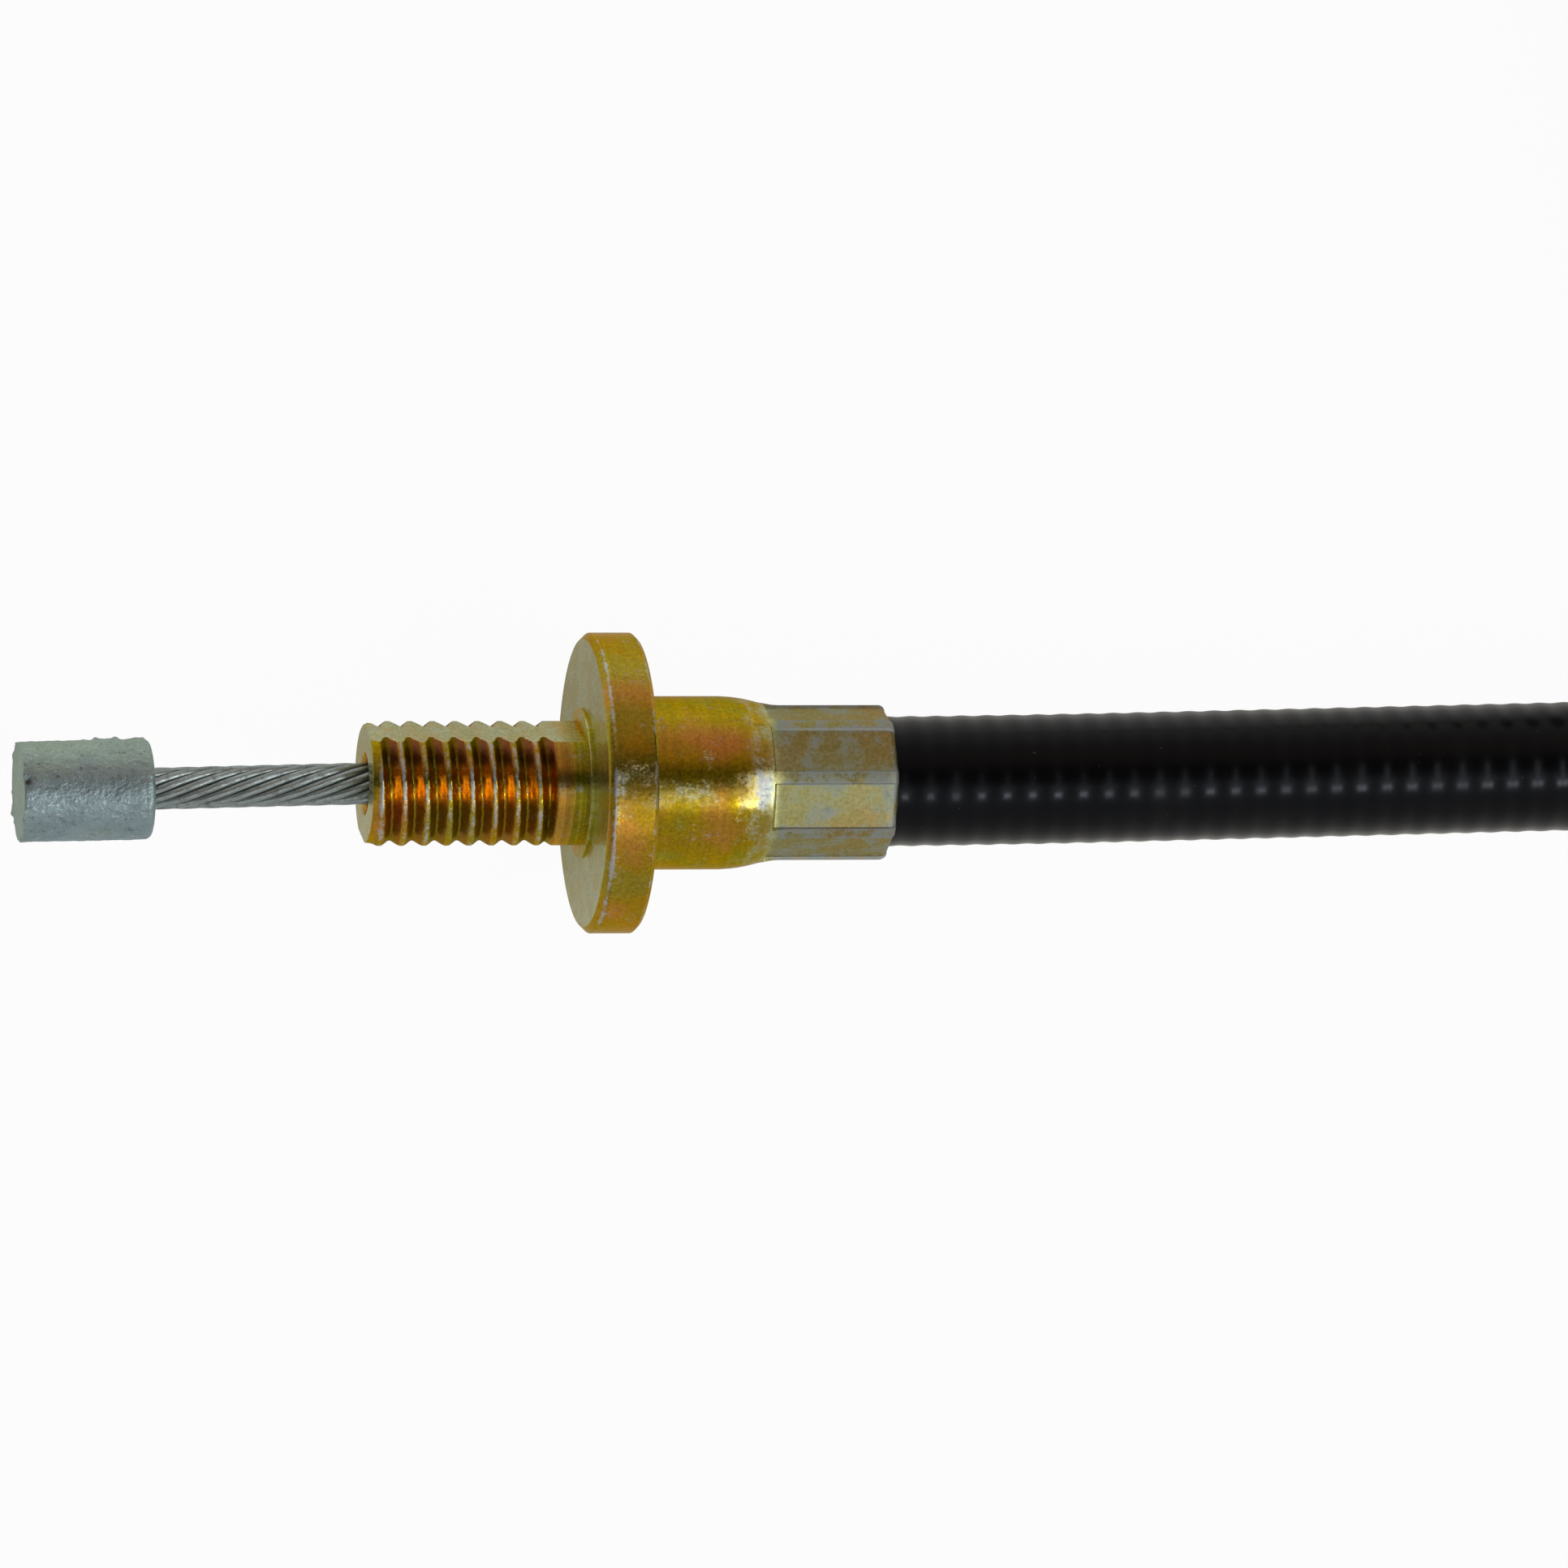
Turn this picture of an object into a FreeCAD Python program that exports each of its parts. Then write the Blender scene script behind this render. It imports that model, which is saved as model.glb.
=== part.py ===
"""Near end of a sleeved pull cable, with the rest of its conduit coiled beside it.

A stranded steel inner cable with a die-cast barrel nipple slides in a one-piece steel end
fitting: a flatted shank, a round flange, and a sleeve crimped in eight facets onto a
plastic-jacketed conduit. The conduit holds a steel armour spiral and a slippery liner. It
runs to a round coil and ends in a plain crimped ferrule with a second nipple.

Millimetres. +X runs along the cable from the nipple to the conduit, +Z is up, and the
origin is on the surface, under the middle of the nipple, inner cable and end fitting.
"""

import FreeCAD, Part
import math
import os

import Sketcher

Vector = FreeCAD.Vector

SIZES = {
    # Barrel nipple
    "nipple_dia": 6.35,
    "nipple_length": 8.3,
    "nipple_round": 0.4,
    "nipple_edge": 0.12,
    "nipple_end": 1.4,
    # Inner cable: one core wire, six round it and twelve outside, laid left-handed
    "wire_dia": 0.53,
    "lay_length": 20.0,
    "exposed_length": 13.65,
    "hidden_length": 22.0,
    "droop_angle": 1.25,
    "droop_length": 3.0,
    # Flatted shank of the end fitting
    "shank_dia": 7.94,
    "shank_length": 14.0,
    "bore_clearance": 0.525,
    "tip_round": 0.3,
    "flat_depth": 0.47,
    "flat_turn": 20.6,
    "ring_step": 0.78,
    "ring_height": 0.3,
    # Flange
    "flange_dia": 19.05,
    "flange_thickness": 3.2,
    "front_chamfer": 0.4,
    "rear_chamfer": 0.25,
    # Crimped sleeve
    "sleeve_wall": 1.35,
    "sleeve_straight": 5.5,
    "sleeve_length": 16.3,
    "shoulder_length": 3.4,
    "shoulder_round": 4.0,
    "seat_wall": 1.5,
    "land_wall": 0.77,
    "facet_wall": 0.4,
    "facet_width": 2.85,
    "facet_start": 8.3,
    "facet_count": 8,
    "facet_turn": 18.9,
    "mouth_chamfer": 0.35,
    # Conduit: a liner round the inner cable, then the armour, then the jacket
    "liner_clearance": 0.225,
    "liner_wall": 0.57,
    "armour_wall": 1.12,
    "jacket_wall": 0.82,
    "layer_gap": 0.03,
    "socket_gap": 0.03,
    "lead_out": 2.2,
    # Coil of the length that is put away
    "coil_radius": 43.0,
    "coil_bundle": 9.95,
    # Far end
    "nose_dia": 7.0,
    "nose_length": 6.0,
    "nose_chamfer": 0.5,
    "far_exposed": 19.65,
    "far_hidden": 15.5,
}

# Diameters that follow from the sizes, as expressions
STRAND = "5 * Sizes.wire_dia"
NIPPLE_BORE = f"({STRAND} + 2 * Sizes.layer_gap)"
SHANK_BORE = f"({STRAND} + 2 * Sizes.bore_clearance)"
LINER_BORE = f"({STRAND} + 2 * Sizes.liner_clearance)"
LINER = f"({LINER_BORE} + 2 * Sizes.liner_wall)"
ARMOUR_BORE = f"({LINER} + 2 * Sizes.layer_gap)"
ARMOUR = f"({ARMOUR_BORE} + 2 * Sizes.armour_wall)"
JACKET_BORE = f"({ARMOUR} + 2 * Sizes.layer_gap)"
JACKET = f"({JACKET_BORE} + 2 * Sizes.jacket_wall)"
SOCKET = f"({JACKET} + 2 * Sizes.socket_gap)"
FACETS_ACROSS = f"({SOCKET} + 2 * Sizes.facet_wall)"
LANDS = f"({SOCKET} + 2 * Sizes.land_wall)"
SLEEVE = f"({SOCKET} + 2 * Sizes.sleeve_wall)"

# Routes of the conduit's middle line after it leaves the end fitting and before its seat
# in the far ferrule: x and y on the surface, and height. A coil lies between them.
LEAD_POINTS = [(57.0, 0.58, 9.6), (93.0, 1.4, 9.8), (128.0, 2.13, 9.95)]
TAIL_POINTS = [(128.0, 98.08, 5.83), (100.7, 98.22, 5.45)]
FAR_SEAT = (73.4, 98.22, 5.45)

ARC_SHARE = 0.45
FACET_SIDES = 8
OUTER_STEP = 2.0
INNER_STEP = 2.7
WIRE_RELIEF = 0.03
PARTS_FOLDER = "parts"

document = FreeCAD.newDocument("pull_cable")
sheet = document.addObject("Spreadsheet::Sheet", "Sizes")
for row, (alias, value) in enumerate(SIZES.items(), start=1):
    sheet.set(f"A{row}", alias)
    sheet.set(f"B{row}", str(value))
    sheet.setAlias(f"B{row}", alias)
document.recompute()

subparts = []


def size(alias):
    """The sheet's value of one size."""
    return float(sheet.get(alias))


def worked_out(expression):
    """The value of an expression in the sheet's sizes."""
    return float(sheet.evalExpression(expression))


# Places worked out from the sizes
tilt = math.radians(size("droop_angle"))
axis_height = size("flange_dia") / 2
left_reach = size("shank_length") + (size("exposed_length") + size("nipple_length")) * math.cos(tilt)
left_reach += size("nipple_dia") / 2 * math.sin(tilt)
right_reach = size("flange_thickness") + size("sleeve_length")
flange_x = (left_reach - right_reach) / 2
tip_x = flange_x - size("shank_length")
seat_x = flange_x + size("flange_thickness") + size("seat_wall")
mouth_x = flange_x + right_reach
nipple_grip = size("nipple_length") - size("nipple_end")


def origin_plane(body, role):
    """One of a body's own origin planes or axes."""
    return next(item for item in body.Origin.OriginFeatures if item.Role == role)


def outline(body, name, plane, corners, turn=None, offset=None):
    """A closed sketch of straight lines whose corners are pairs of expressions in the sizes."""
    sketch = body.newObject("Sketcher::SketchObject", name)
    sketch.AttachmentSupport = [(origin_plane(body, plane), "")]
    sketch.MapMode = "FlatFace"
    if turn:
        sketch.setExpression("AttachmentOffset.Rotation.Angle", turn)
    if offset:
        sketch.setExpression("AttachmentOffset.Base.z", offset)
    document.recompute()
    spots = [Vector(*(float(sketch.evalExpression(text)) for text in corner), 0) for corner in corners]
    count = len(spots)
    for index in range(count):
        sketch.addGeometry(Part.LineSegment(spots[index], spots[(index + 1) % count]), False)
    for index in range(count):
        sketch.addConstraint(Sketcher.Constraint("Coincident", index, 2, (index + 1) % count, 1))
    for index, corner in enumerate(corners):
        for kind, text, value in zip(("DistanceX", "DistanceY"), corner, spots[index]):
            number = sketch.addConstraint(Sketcher.Constraint(kind, -1, 1, index, 1, value))
            sketch.setExpression(f"Constraints[{number}]", text)
    document.recompute()
    return sketch


def turned(body, name, corners):
    """A solid of revolution about X from an outline of (x, radius) pairs."""
    sketch = outline(body, f"{name}_outline", "XY_Plane", corners)
    feature = body.newObject("PartDesign::Revolution", name)
    feature.Profile = sketch
    feature.ReferenceAxis = (sketch, ["H_Axis"])
    feature.Angle = 360
    document.recompute()
    return feature


def pocketed(body, name, sketch, length, backwards):
    """Cuts a sketch's shape out of the body along X, and makes sure that it cut something."""
    before = body.Shape.Volume
    feature = body.newObject("PartDesign::Pocket", name)
    feature.Profile = sketch
    feature.setExpression("Length", length)
    feature.Reversed = backwards
    document.recompute()
    if not feature.Shape.Volume < before - 0.1:
        raise ValueError(f"{name} cut nothing")
    return feature


def crimp_facets(body, sleeve_start):
    """Eight flats pressed into the sleeve over the conduit, with a raised land between them."""
    half = "Sizes.facet_width / 2"
    near = f"{FACETS_ACROSS} / 2"
    far = LANDS
    corners = [(near, f"-{half}"), (far, f"-{half}"), (far, half), (near, half)]
    start = f"{sleeve_start} + Sizes.facet_start"
    sketch = outline(body, "facet_outline", "YZ_Plane", corners, "Sizes.facet_turn", start)
    facet = pocketed(body, "facet", sketch, "Sizes.sleeve_length - Sizes.facet_start", True)
    pattern = body.newObject("PartDesign::PolarPattern", "facets")
    pattern.Originals = [facet]
    pattern.Axis = (sketch, ["N_Axis"])
    pattern.Angle = 360
    pattern.setExpression("Occurrences", "Sizes.facet_count")
    body.Tip = pattern
    document.recompute()
    return pattern


def shoulder_edges(shape, places):
    """Names of the round edges at the given (x, radius) places."""
    names = []
    for number, edge in enumerate(shape.Edges, start=1):
        curve = edge.Curve
        if isinstance(curve, Part.Circle):
            for x, radius in places:
                if abs(curve.Center.x - x) < 0.01 and abs(curve.Radius - radius) < 0.01:
                    names.append(f"Edge{number}")
    return names


def rounded(body, name, places, radius):
    """A fillet on the round edges at the given (x, radius) places."""
    base = body.Tip
    feature = body.newObject("PartDesign::Fillet", name)
    feature.Base = (base, shoulder_edges(base.Shape, places))
    feature.setExpression("Radius", radius)
    document.recompute()
    return feature


def new_body(label):
    """An empty body that becomes one sub-part."""
    body = document.addObject("PartDesign::Body", label)
    body.Label = label
    subparts.append(body)
    return body


def plain_feature(label, shape):
    """A sub-part whose shape is worked out here from the sheet's sizes."""
    feature = document.addObject("Part::Feature", label)
    feature.Label = label
    feature.Shape = shape
    feature.Placement = FreeCAD.Placement()
    subparts.append(feature)
    return feature


def sleeve_corners(start):
    """(x, radius) of a crimped sleeve's outside and of its socket, from x = start on."""
    sleeve = f"{SLEEVE} / 2"
    crimp = f"{LANDS} / 2"
    socket = f"{SOCKET} / 2"
    end = f"{start} + Sizes.sleeve_length"
    straight = f"{start} + Sizes.sleeve_straight"
    return [
        (start, sleeve),
        (straight, sleeve),
        (f"{straight} + Sizes.shoulder_length", crimp),
        (f"{end} - Sizes.mouth_chamfer", crimp),
        (end, f"{crimp} - Sizes.mouth_chamfer"),
        (end, socket),
        (f"{start} + Sizes.seat_wall", socket),
        (f"{start} + Sizes.seat_wall", f"{SHANK_BORE} / 2"),
    ]


def round_shoulder(body, sleeve_x):
    """Eases the sleeve's taper into the straight stretches before and after it."""
    first = sleeve_x + size("sleeve_straight")
    places = [
        (first, worked_out(SLEEVE) / 2),
        (first + size("shoulder_length"), worked_out(LANDS) / 2),
    ]
    rounded(body, "shoulder", places, "Sizes.shoulder_round")


def make_end_fitting():
    """Shank with two flats, shoulder ring, flange and crimped sleeve, bored right through."""
    body = new_body("end_fitting")
    shank = "Sizes.shank_dia / 2"
    ring = f"{shank} + Sizes.ring_step"
    rim = "Sizes.flange_dia / 2"
    thickness = "Sizes.flange_thickness"
    corners = [
        ("-Sizes.shank_length", f"{SHANK_BORE} / 2"),
        ("-Sizes.shank_length", shank),
        ("-Sizes.ring_height", shank),
        ("-Sizes.ring_height", ring),
        ("0", ring),
        ("0", f"{rim} - Sizes.front_chamfer"),
        ("Sizes.front_chamfer", rim),
        (f"{thickness} - Sizes.rear_chamfer", rim),
        (thickness, f"{rim} - Sizes.rear_chamfer"),
    ]
    turned(body, "turned_form", corners + sleeve_corners(thickness))
    round_shoulder(body, size("flange_thickness"))
    tip = (-size("shank_length"), size("shank_dia") / 2)
    rounded(body, "tip_edge", [tip], "Sizes.tip_round")
    near = f"({shank} - Sizes.flat_depth)"
    far = "Sizes.shank_dia"
    for side, sign in (("upper", ""), ("lower", "-")):
        flat = [
            (f"{sign}{near}", f"-{far}"),
            (f"{sign}{far}", f"-{far}"),
            (f"{sign}{far}", far),
            (f"{sign}{near}", far),
        ]
        sketch = outline(
            body, f"{side}_flat_outline", "YZ_Plane", flat, "Sizes.flat_turn", "-Sizes.ring_height"
        )
        pocketed(body, f"{side}_flat", sketch, "Sizes.shank_length", False)
    crimp_facets(body, thickness)
    body.Placement = FreeCAD.Placement(Vector(flange_x, 0, axis_height), FreeCAD.Rotation())
    return body


def make_far_ferrule():
    """Plain crimped ferrule with a nose, turned round so that its nose points along -X."""
    body = new_body("far_ferrule")
    nose = "Sizes.nose_dia / 2"
    corners = [
        ("-Sizes.nose_length", f"{SHANK_BORE} / 2"),
        ("-Sizes.nose_length", f"{nose} - Sizes.nose_chamfer"),
        ("-Sizes.nose_length + Sizes.nose_chamfer", nose),
        ("0", nose),
        ("0", f"{SLEEVE} / 2 - Sizes.nose_chamfer"),
        ("Sizes.nose_chamfer", f"{SLEEVE} / 2"),
    ]
    turned(body, "turned_form", corners + sleeve_corners("0")[1:])
    round_shoulder(body, 0.0)
    crimp_facets(body, "0")
    sleeve_x = FAR_SEAT[0] - size("seat_wall")
    body.Placement = FreeCAD.Placement(Vector(sleeve_x, *FAR_SEAT[1:]), FreeCAD.Rotation())
    return body


def make_nipple(label, face, angle):
    """Barrel cast onto the inner cable. face is the middle of its side towards the cable."""
    body = new_body(label)
    barrel = "Sizes.nipple_dia / 2"
    bore = f"{NIPPLE_BORE} / 2"
    depth = "-Sizes.nipple_length + Sizes.nipple_end"
    corners = [
        ("-Sizes.nipple_length", "0"),
        ("-Sizes.nipple_length", f"{barrel} - Sizes.nipple_edge"),
        ("-Sizes.nipple_length + Sizes.nipple_edge", barrel),
        ("0", barrel),
        ("0", bore),
        (depth, bore),
        (depth, "0"),
    ]
    turned(body, "barrel", corners)
    rounded(body, "cable_side_round", [(0.0, size("nipple_dia") / 2)], "Sizes.nipple_round")
    turn = FreeCAD.Rotation(Vector(0, 0, 1), math.degrees(angle))
    body.Placement = FreeCAD.Placement(Vector(*face), turn)
    return body


def cable_line(along):
    """Point and direction of the near inner cable's middle, from its hidden end on.

    Straight in the bore, a short arc at the shank's tip, then straight at the droop angle.
    """
    straight = size("hidden_length") - size("droop_length") / 2
    bend = size("droop_length")
    radius = bend / tilt
    start_x = tip_x + size("hidden_length")
    if along <= straight:
        return Vector(start_x - along, 0, axis_height), Vector(-1, 0, 0)
    angle = min((along - straight) / bend, 1.0) * tilt
    point = Vector(
        start_x - straight - radius * math.sin(angle), -radius * (1 - math.cos(angle)), axis_height
    )
    direction = Vector(-math.cos(angle), -math.sin(angle), 0)
    if along > straight + bend:
        point = point + direction * (along - straight - bend)
    return point, direction


def laid_wire(share, ring_radius, wire_dia, length, step):
    """A wire laid left-handed round the cable's middle line, as a faceted tube.

    share is its place round the cable, from 0 to 1. Each section is an eight-sided ring
    square to the wire, and flat-sided stretches join one section to the next.
    """
    lay = size("lay_length")
    count = math.ceil(length / step)
    sections = []
    for number in range(count + 1):
        along = length * number / count
        middle, forward = cable_line(along)
        up = Vector(0, 0, 1)
        side = forward.cross(up)
        angle = 2 * math.pi * (share - along / lay)
        outward = up * math.cos(angle) + side * math.sin(angle)
        around = side * math.cos(angle) - up * math.sin(angle)
        direction = (forward - around * (2 * math.pi * ring_radius / lay)).normalize()
        across = direction.cross(outward)
        centre = middle + outward * ring_radius
        corners = []
        for corner in range(FACET_SIDES):
            turn = 2 * math.pi * corner / FACET_SIDES
            reach = outward * math.cos(turn) + across * math.sin(turn)
            corners.append(centre + reach * (wire_dia / 2))
        sections.append(Part.makePolygon(corners + corners[:1]))
    return Part.makeLoft(sections, True, True)


def make_inner_cable():
    """The nineteen wires of the near inner cable, each a sub-part of its own."""
    length = size("hidden_length") + size("exposed_length") + nipple_grip - size("layer_gap")
    wire = size("wire_dia")
    drawn = wire - WIRE_RELIEF
    plain_feature("core_wire", laid_wire(0.0, 0.0, drawn, length, INNER_STEP))
    for number in range(6):
        shape = laid_wire(number / 6, wire, drawn, length, INNER_STEP)
        plain_feature(f"inner_wire_{number + 1}", shape)
    for number in range(12):
        shape = laid_wire(number / 12, 2 * wire, drawn, length, OUTER_STEP)
        plain_feature(f"outer_wire_{number + 1:02d}", shape)


def rounded_route(name, points):
    """Straight runs joined by tangent arcs, each as large as its two runs allow."""
    spots = [Vector(*point) for point in points]
    edges = []
    start = spots[0]
    radii = []
    for before, corner, after in zip(spots, spots[1:], spots[2:]):
        back = before - corner
        ahead = after - corner
        turn = math.pi - back.getAngle(ahead)
        reach = ARC_SHARE * min(back.Length, ahead.Length)
        radii.append(reach / math.tan(turn / 2))
        into = corner + back.normalize() * reach
        out = corner + ahead.normalize() * reach
        bisector = (into + out) * 0.5 - corner
        sagitta = radii[-1] * (1 / math.cos(turn / 2) - 1)
        middle = corner + bisector.normalize() * sagitta
        edges.append(Part.LineSegment(start, into).toShape())
        edges.append(Part.Arc(into, middle, out).toShape())
        start = out
    edges.append(Part.LineSegment(start, spots[-1]).toShape())
    print(f"{name}: bend radii in mm", [round(radius) for radius in radii])
    return Part.Wire(edges)


def ring_tube(name, route, outside, inside):
    """A hollow tube along a route, with its volume compared with section times length."""
    start = route.Edges[0].valueAt(route.Edges[0].FirstParameter)
    direction = route.Edges[0].tangentAt(route.Edges[0].FirstParameter)
    walls = []
    for radius in (outside / 2, inside / 2):
        profile = Part.Wire([Part.Circle(start, direction, radius).toShape()])
        walls.append(route.makePipeShell([profile], True, False))
    tube = walls[0].cut(walls[1])
    expected = math.pi / 4 * (outside**2 - inside**2) * route.Length
    print(f"{name}: volume over section times length {tube.Volume / expected:.4f}")
    return tube


def make_conduit(prefix, points):
    """Jacket, armour and liner of one uncoiled stretch, one inside the other."""
    route = rounded_route(prefix, points)
    print(f"{prefix}: middle line {route.Length:.1f} mm long")
    layers = (("jacket", JACKET, JACKET_BORE), ("armour", ARMOUR, ARMOUR_BORE), ("liner", LINER, LINER_BORE))
    for layer, outside, inside in layers:
        name = f"{prefix}_{layer}"
        tube = ring_tube(name, route, worked_out(outside), worked_out(inside))
        plain_feature(name, tube)


def make_coil():
    """The put-away turns as one ring, as wide and as thick as the turns together."""
    coil = document.addObject("Part::Torus", "conduit_coil")
    coil.Label = "conduit_coil"
    coil.setExpression("Radius1", "Sizes.coil_radius")
    coil.setExpression("Radius2", "Sizes.coil_bundle")
    entry = LEAD_POINTS[-1]
    outer_turn = size("coil_radius") + size("coil_bundle") - worked_out(JACKET) / 2
    coil.Placement = FreeCAD.Placement(
        Vector(entry[0], entry[1] + outer_turn, size("coil_bundle")), FreeCAD.Rotation()
    )
    subparts.append(coil)


def make_far_cable():
    """The far end's inner cable as one round bar between its hidden end and its nipple."""
    nose_tip = FAR_SEAT[0] - size("seat_wall") - size("nose_length")
    cable = document.addObject("Part::Cylinder", "far_inner_cable")
    cable.Label = "far_inner_cable"
    cable.setExpression("Radius", f"{STRAND} / 2")
    inside_nipple = "Sizes.nipple_length - Sizes.nipple_end - Sizes.layer_gap"
    cable.setExpression("Height", f"Sizes.far_hidden + Sizes.far_exposed + {inside_nipple}")
    start = Vector(nose_tip + size("far_hidden"), FAR_SEAT[1], FAR_SEAT[2])
    cable.Placement = FreeCAD.Placement(start, FreeCAD.Rotation(Vector(0, 1, 0), -90))
    subparts.append(cable)
    return nose_tip - size("far_exposed")


def write_parts():
    """Checks every object and shape, then writes one file for each sub-part."""
    document.recompute()
    for item in document.Objects:
        if "Invalid" in item.State or "Error" in item.State:
            raise ValueError(f"{item.Label} failed: {item.State}")
    for subpart in subparts:
        if subpart.Shape.isNull() or not subpart.Shape.isValid():
            raise ValueError(f"{subpart.Label} has no valid shape")
    os.makedirs(PARTS_FOLDER, exist_ok=True)
    for subpart in subparts:
        subpart.Shape.exportStep(os.path.join(PARTS_FOLDER, f"{subpart.Label}.step"))
    print(f"{len(subparts)} sub-parts written")


make_end_fitting()
exposed_end, cable_direction = cable_line(size("hidden_length") + size("exposed_length"))
make_nipple("cable_nipple", tuple(exposed_end), tilt)
make_inner_cable()
seat = (seat_x, 0.0, axis_height)
lead_start = (mouth_x + size("lead_out"), 0.0, axis_height)
make_conduit("conduit", [seat, lead_start] + LEAD_POINTS)
make_coil()
make_conduit("tail", TAIL_POINTS + [FAR_SEAT])
make_far_ferrule()
far_face_x = make_far_cable()
make_nipple("far_nipple", (far_face_x, *FAR_SEAT[1:]), 0.0)
write_parts()
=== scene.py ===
"""Looks for the sleeved pull cable: plated end fitting, laid inner cable, cast nipples and conduit.

Laid out as an add-on whose operators each make one piece or group of pieces. Sizes are in
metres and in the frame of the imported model, whose nodes the new pieces ride with and replace.
"""

import math

import bpy
import numpy as np
from bpy.props import FloatProperty, FloatVectorProperty, IntProperty, PointerProperty
from mathutils import Matrix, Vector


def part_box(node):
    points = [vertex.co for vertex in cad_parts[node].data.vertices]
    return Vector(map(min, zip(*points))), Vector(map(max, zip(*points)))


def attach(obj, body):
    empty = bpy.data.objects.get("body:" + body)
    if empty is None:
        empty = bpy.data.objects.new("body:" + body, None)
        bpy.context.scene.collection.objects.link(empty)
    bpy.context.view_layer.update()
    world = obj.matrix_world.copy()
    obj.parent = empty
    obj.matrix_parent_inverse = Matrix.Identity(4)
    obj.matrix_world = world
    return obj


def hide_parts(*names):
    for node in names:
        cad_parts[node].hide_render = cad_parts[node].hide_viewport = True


bl_info = {
    "name": "Sleeved Pull Cable",
    "version": (1, 0, 0),
    "blender": (4, 5, 0),
    "location": "View3D > Sidebar > Pull Cable",
    "description": "Makes the plated fitting, inner cable, nipples and conduit of a pull cable",
    "category": "Add Mesh",
}

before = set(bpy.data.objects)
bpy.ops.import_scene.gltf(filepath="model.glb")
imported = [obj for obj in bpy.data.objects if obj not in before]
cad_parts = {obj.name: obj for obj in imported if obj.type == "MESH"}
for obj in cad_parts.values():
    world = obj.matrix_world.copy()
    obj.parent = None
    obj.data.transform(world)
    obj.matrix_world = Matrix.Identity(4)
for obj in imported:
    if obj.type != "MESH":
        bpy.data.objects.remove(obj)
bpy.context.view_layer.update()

MM = 0.001
TIP_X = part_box("end_fitting")[0].x / MM
MOUTH_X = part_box("end_fitting")[1].x / MM
AXIS_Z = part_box("end_fitting")[1].z / MM / 2
SHANK = 14.0
FLANGE_X = TIP_X + SHANK
FAR_SEAT = (73.4, 98.22, 5.45)
SEAT_WALL = 1.5
NOSE = 6.0
SLEEVE_LENGTH = 16.3
HIDDEN = 22.0
EXPOSED = 13.65
TURN_RADIUS = 43.0
BUNDLE_HEIGHT = 9.95
BUNDLE_SPREAD = 5.83
TURNS = 3.5
POINTS_PER_TURN = 16
COIL_START = (128.0, 2.13, 9.95)


def length_of(label, text, default):
    """A length that a user may change, in millimetres."""
    return FloatProperty(name=label, description=text, default=default, min=0.0, soft_max=100.0)


def colour_of(label, text, default):
    """A colour that a user may change."""
    return FloatVectorProperty(
        name=label, description=text, default=default, size=3, min=0.0, max=1.0, subtype="COLOR"
    )


class PullCableSizes(bpy.types.PropertyGroup):
    """Sizes in millimetres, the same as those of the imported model."""

    shank: length_of("Shank", "Diameter over the thread's crests", 7.94)
    pitch: length_of("Pitch", "From one thread crest to the next", 1.44)
    thread_depth: length_of("Thread Depth", "Depth of the thread between the flats", 0.76)
    edge_depth: length_of("Edge Depth", "Depth of the thread beside the flats", 0.36)
    flat: length_of("Flat", "Distance of each flat from the axis", 3.5)
    flat_turn: FloatProperty(
        name="Flat Turn",
        description="Turn of the flats from level",
        default=math.radians(20.6),
        subtype="ANGLE",
    )
    bore: length_of("Bore", "Diameter of the bore for the inner cable", 3.7)
    flange: length_of("Flange", "Diameter of the flange", 19.05)
    flange_thickness: length_of("Flange Thickness", "Thickness of the flange", 3.2)
    sleeve: length_of("Sleeve", "Diameter of the sleeve", 11.0)
    facets: length_of("Facets", "Distance across the crimp's facets", 9.1)
    facet_width: length_of("Facet Width", "Width of one facet of the crimp", 2.85)
    facet_turn: FloatProperty(
        name="Facet Turn",
        description="Turn of the first facet from level",
        default=math.radians(18.9),
        subtype="ANGLE",
    )
    wire: length_of("Wire", "Diameter of one wire of the inner cable", 0.53)
    lay: length_of("Lay", "Length in which a wire goes once round", 20.0)
    nipple: length_of("Nipple", "Diameter of the barrel nipples", 6.35)
    nipple_length: length_of("Nipple Length", "Length of the barrel nipples", 8.3)
    jacket: length_of("Jacket", "Diameter of the conduit's jacket", 8.24)
    ripple: length_of("Ripple", "From one ripple of the jacket to the next", 1.655)
    ripple_depth: length_of("Ripple Depth", "Depth of the ripples of the jacket", 0.055)


class PullCableLooks(bpy.types.PropertyGroup):
    """Colours of the finishes."""

    gold: colour_of("Gold", "Most of the passivated plating", (0.60, 0.40, 0.012))
    olive: colour_of("Olive", "Greener places of the plating", (0.50, 0.43, 0.028))
    amber: colour_of("Amber", "Redder places of the plating", (0.90, 0.32, 0.10))
    pale_and_highlight: colour_of("Pale", "Plating on the flats, the faces and the crimp", (0.73, 0.76, 0.38))
    worn: colour_of("Worn", "Bare metal on the edges", (0.72, 0.72, 0.70))
    zinc: colour_of("Zinc", "Cast skin of the nipples", (0.49, 0.64, 0.69))
    steel: colour_of("Steel", "Wires of the inner cable", (0.62, 0.72, 0.72))
    # Painted shade: the colour that darkens the wires where they meet.
    crevice_shade: colour_of("Grime", "Old grease between the wires", (0.13, 0.14, 0.13))
    jacket: colour_of("Jacket", "Plastic of the conduit", (0.0012, 0.0012, 0.0013))
    seed: IntProperty(name="Seed", description="Choice of the random patterns", default=0, min=0)


def scene_sizes():
    """The scene's sizes."""
    return bpy.context.scene.pull_cable_sizes


def scene_looks():
    """The scene's colours."""
    return bpy.context.scene.pull_cable_looks


# Number patterns


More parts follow.
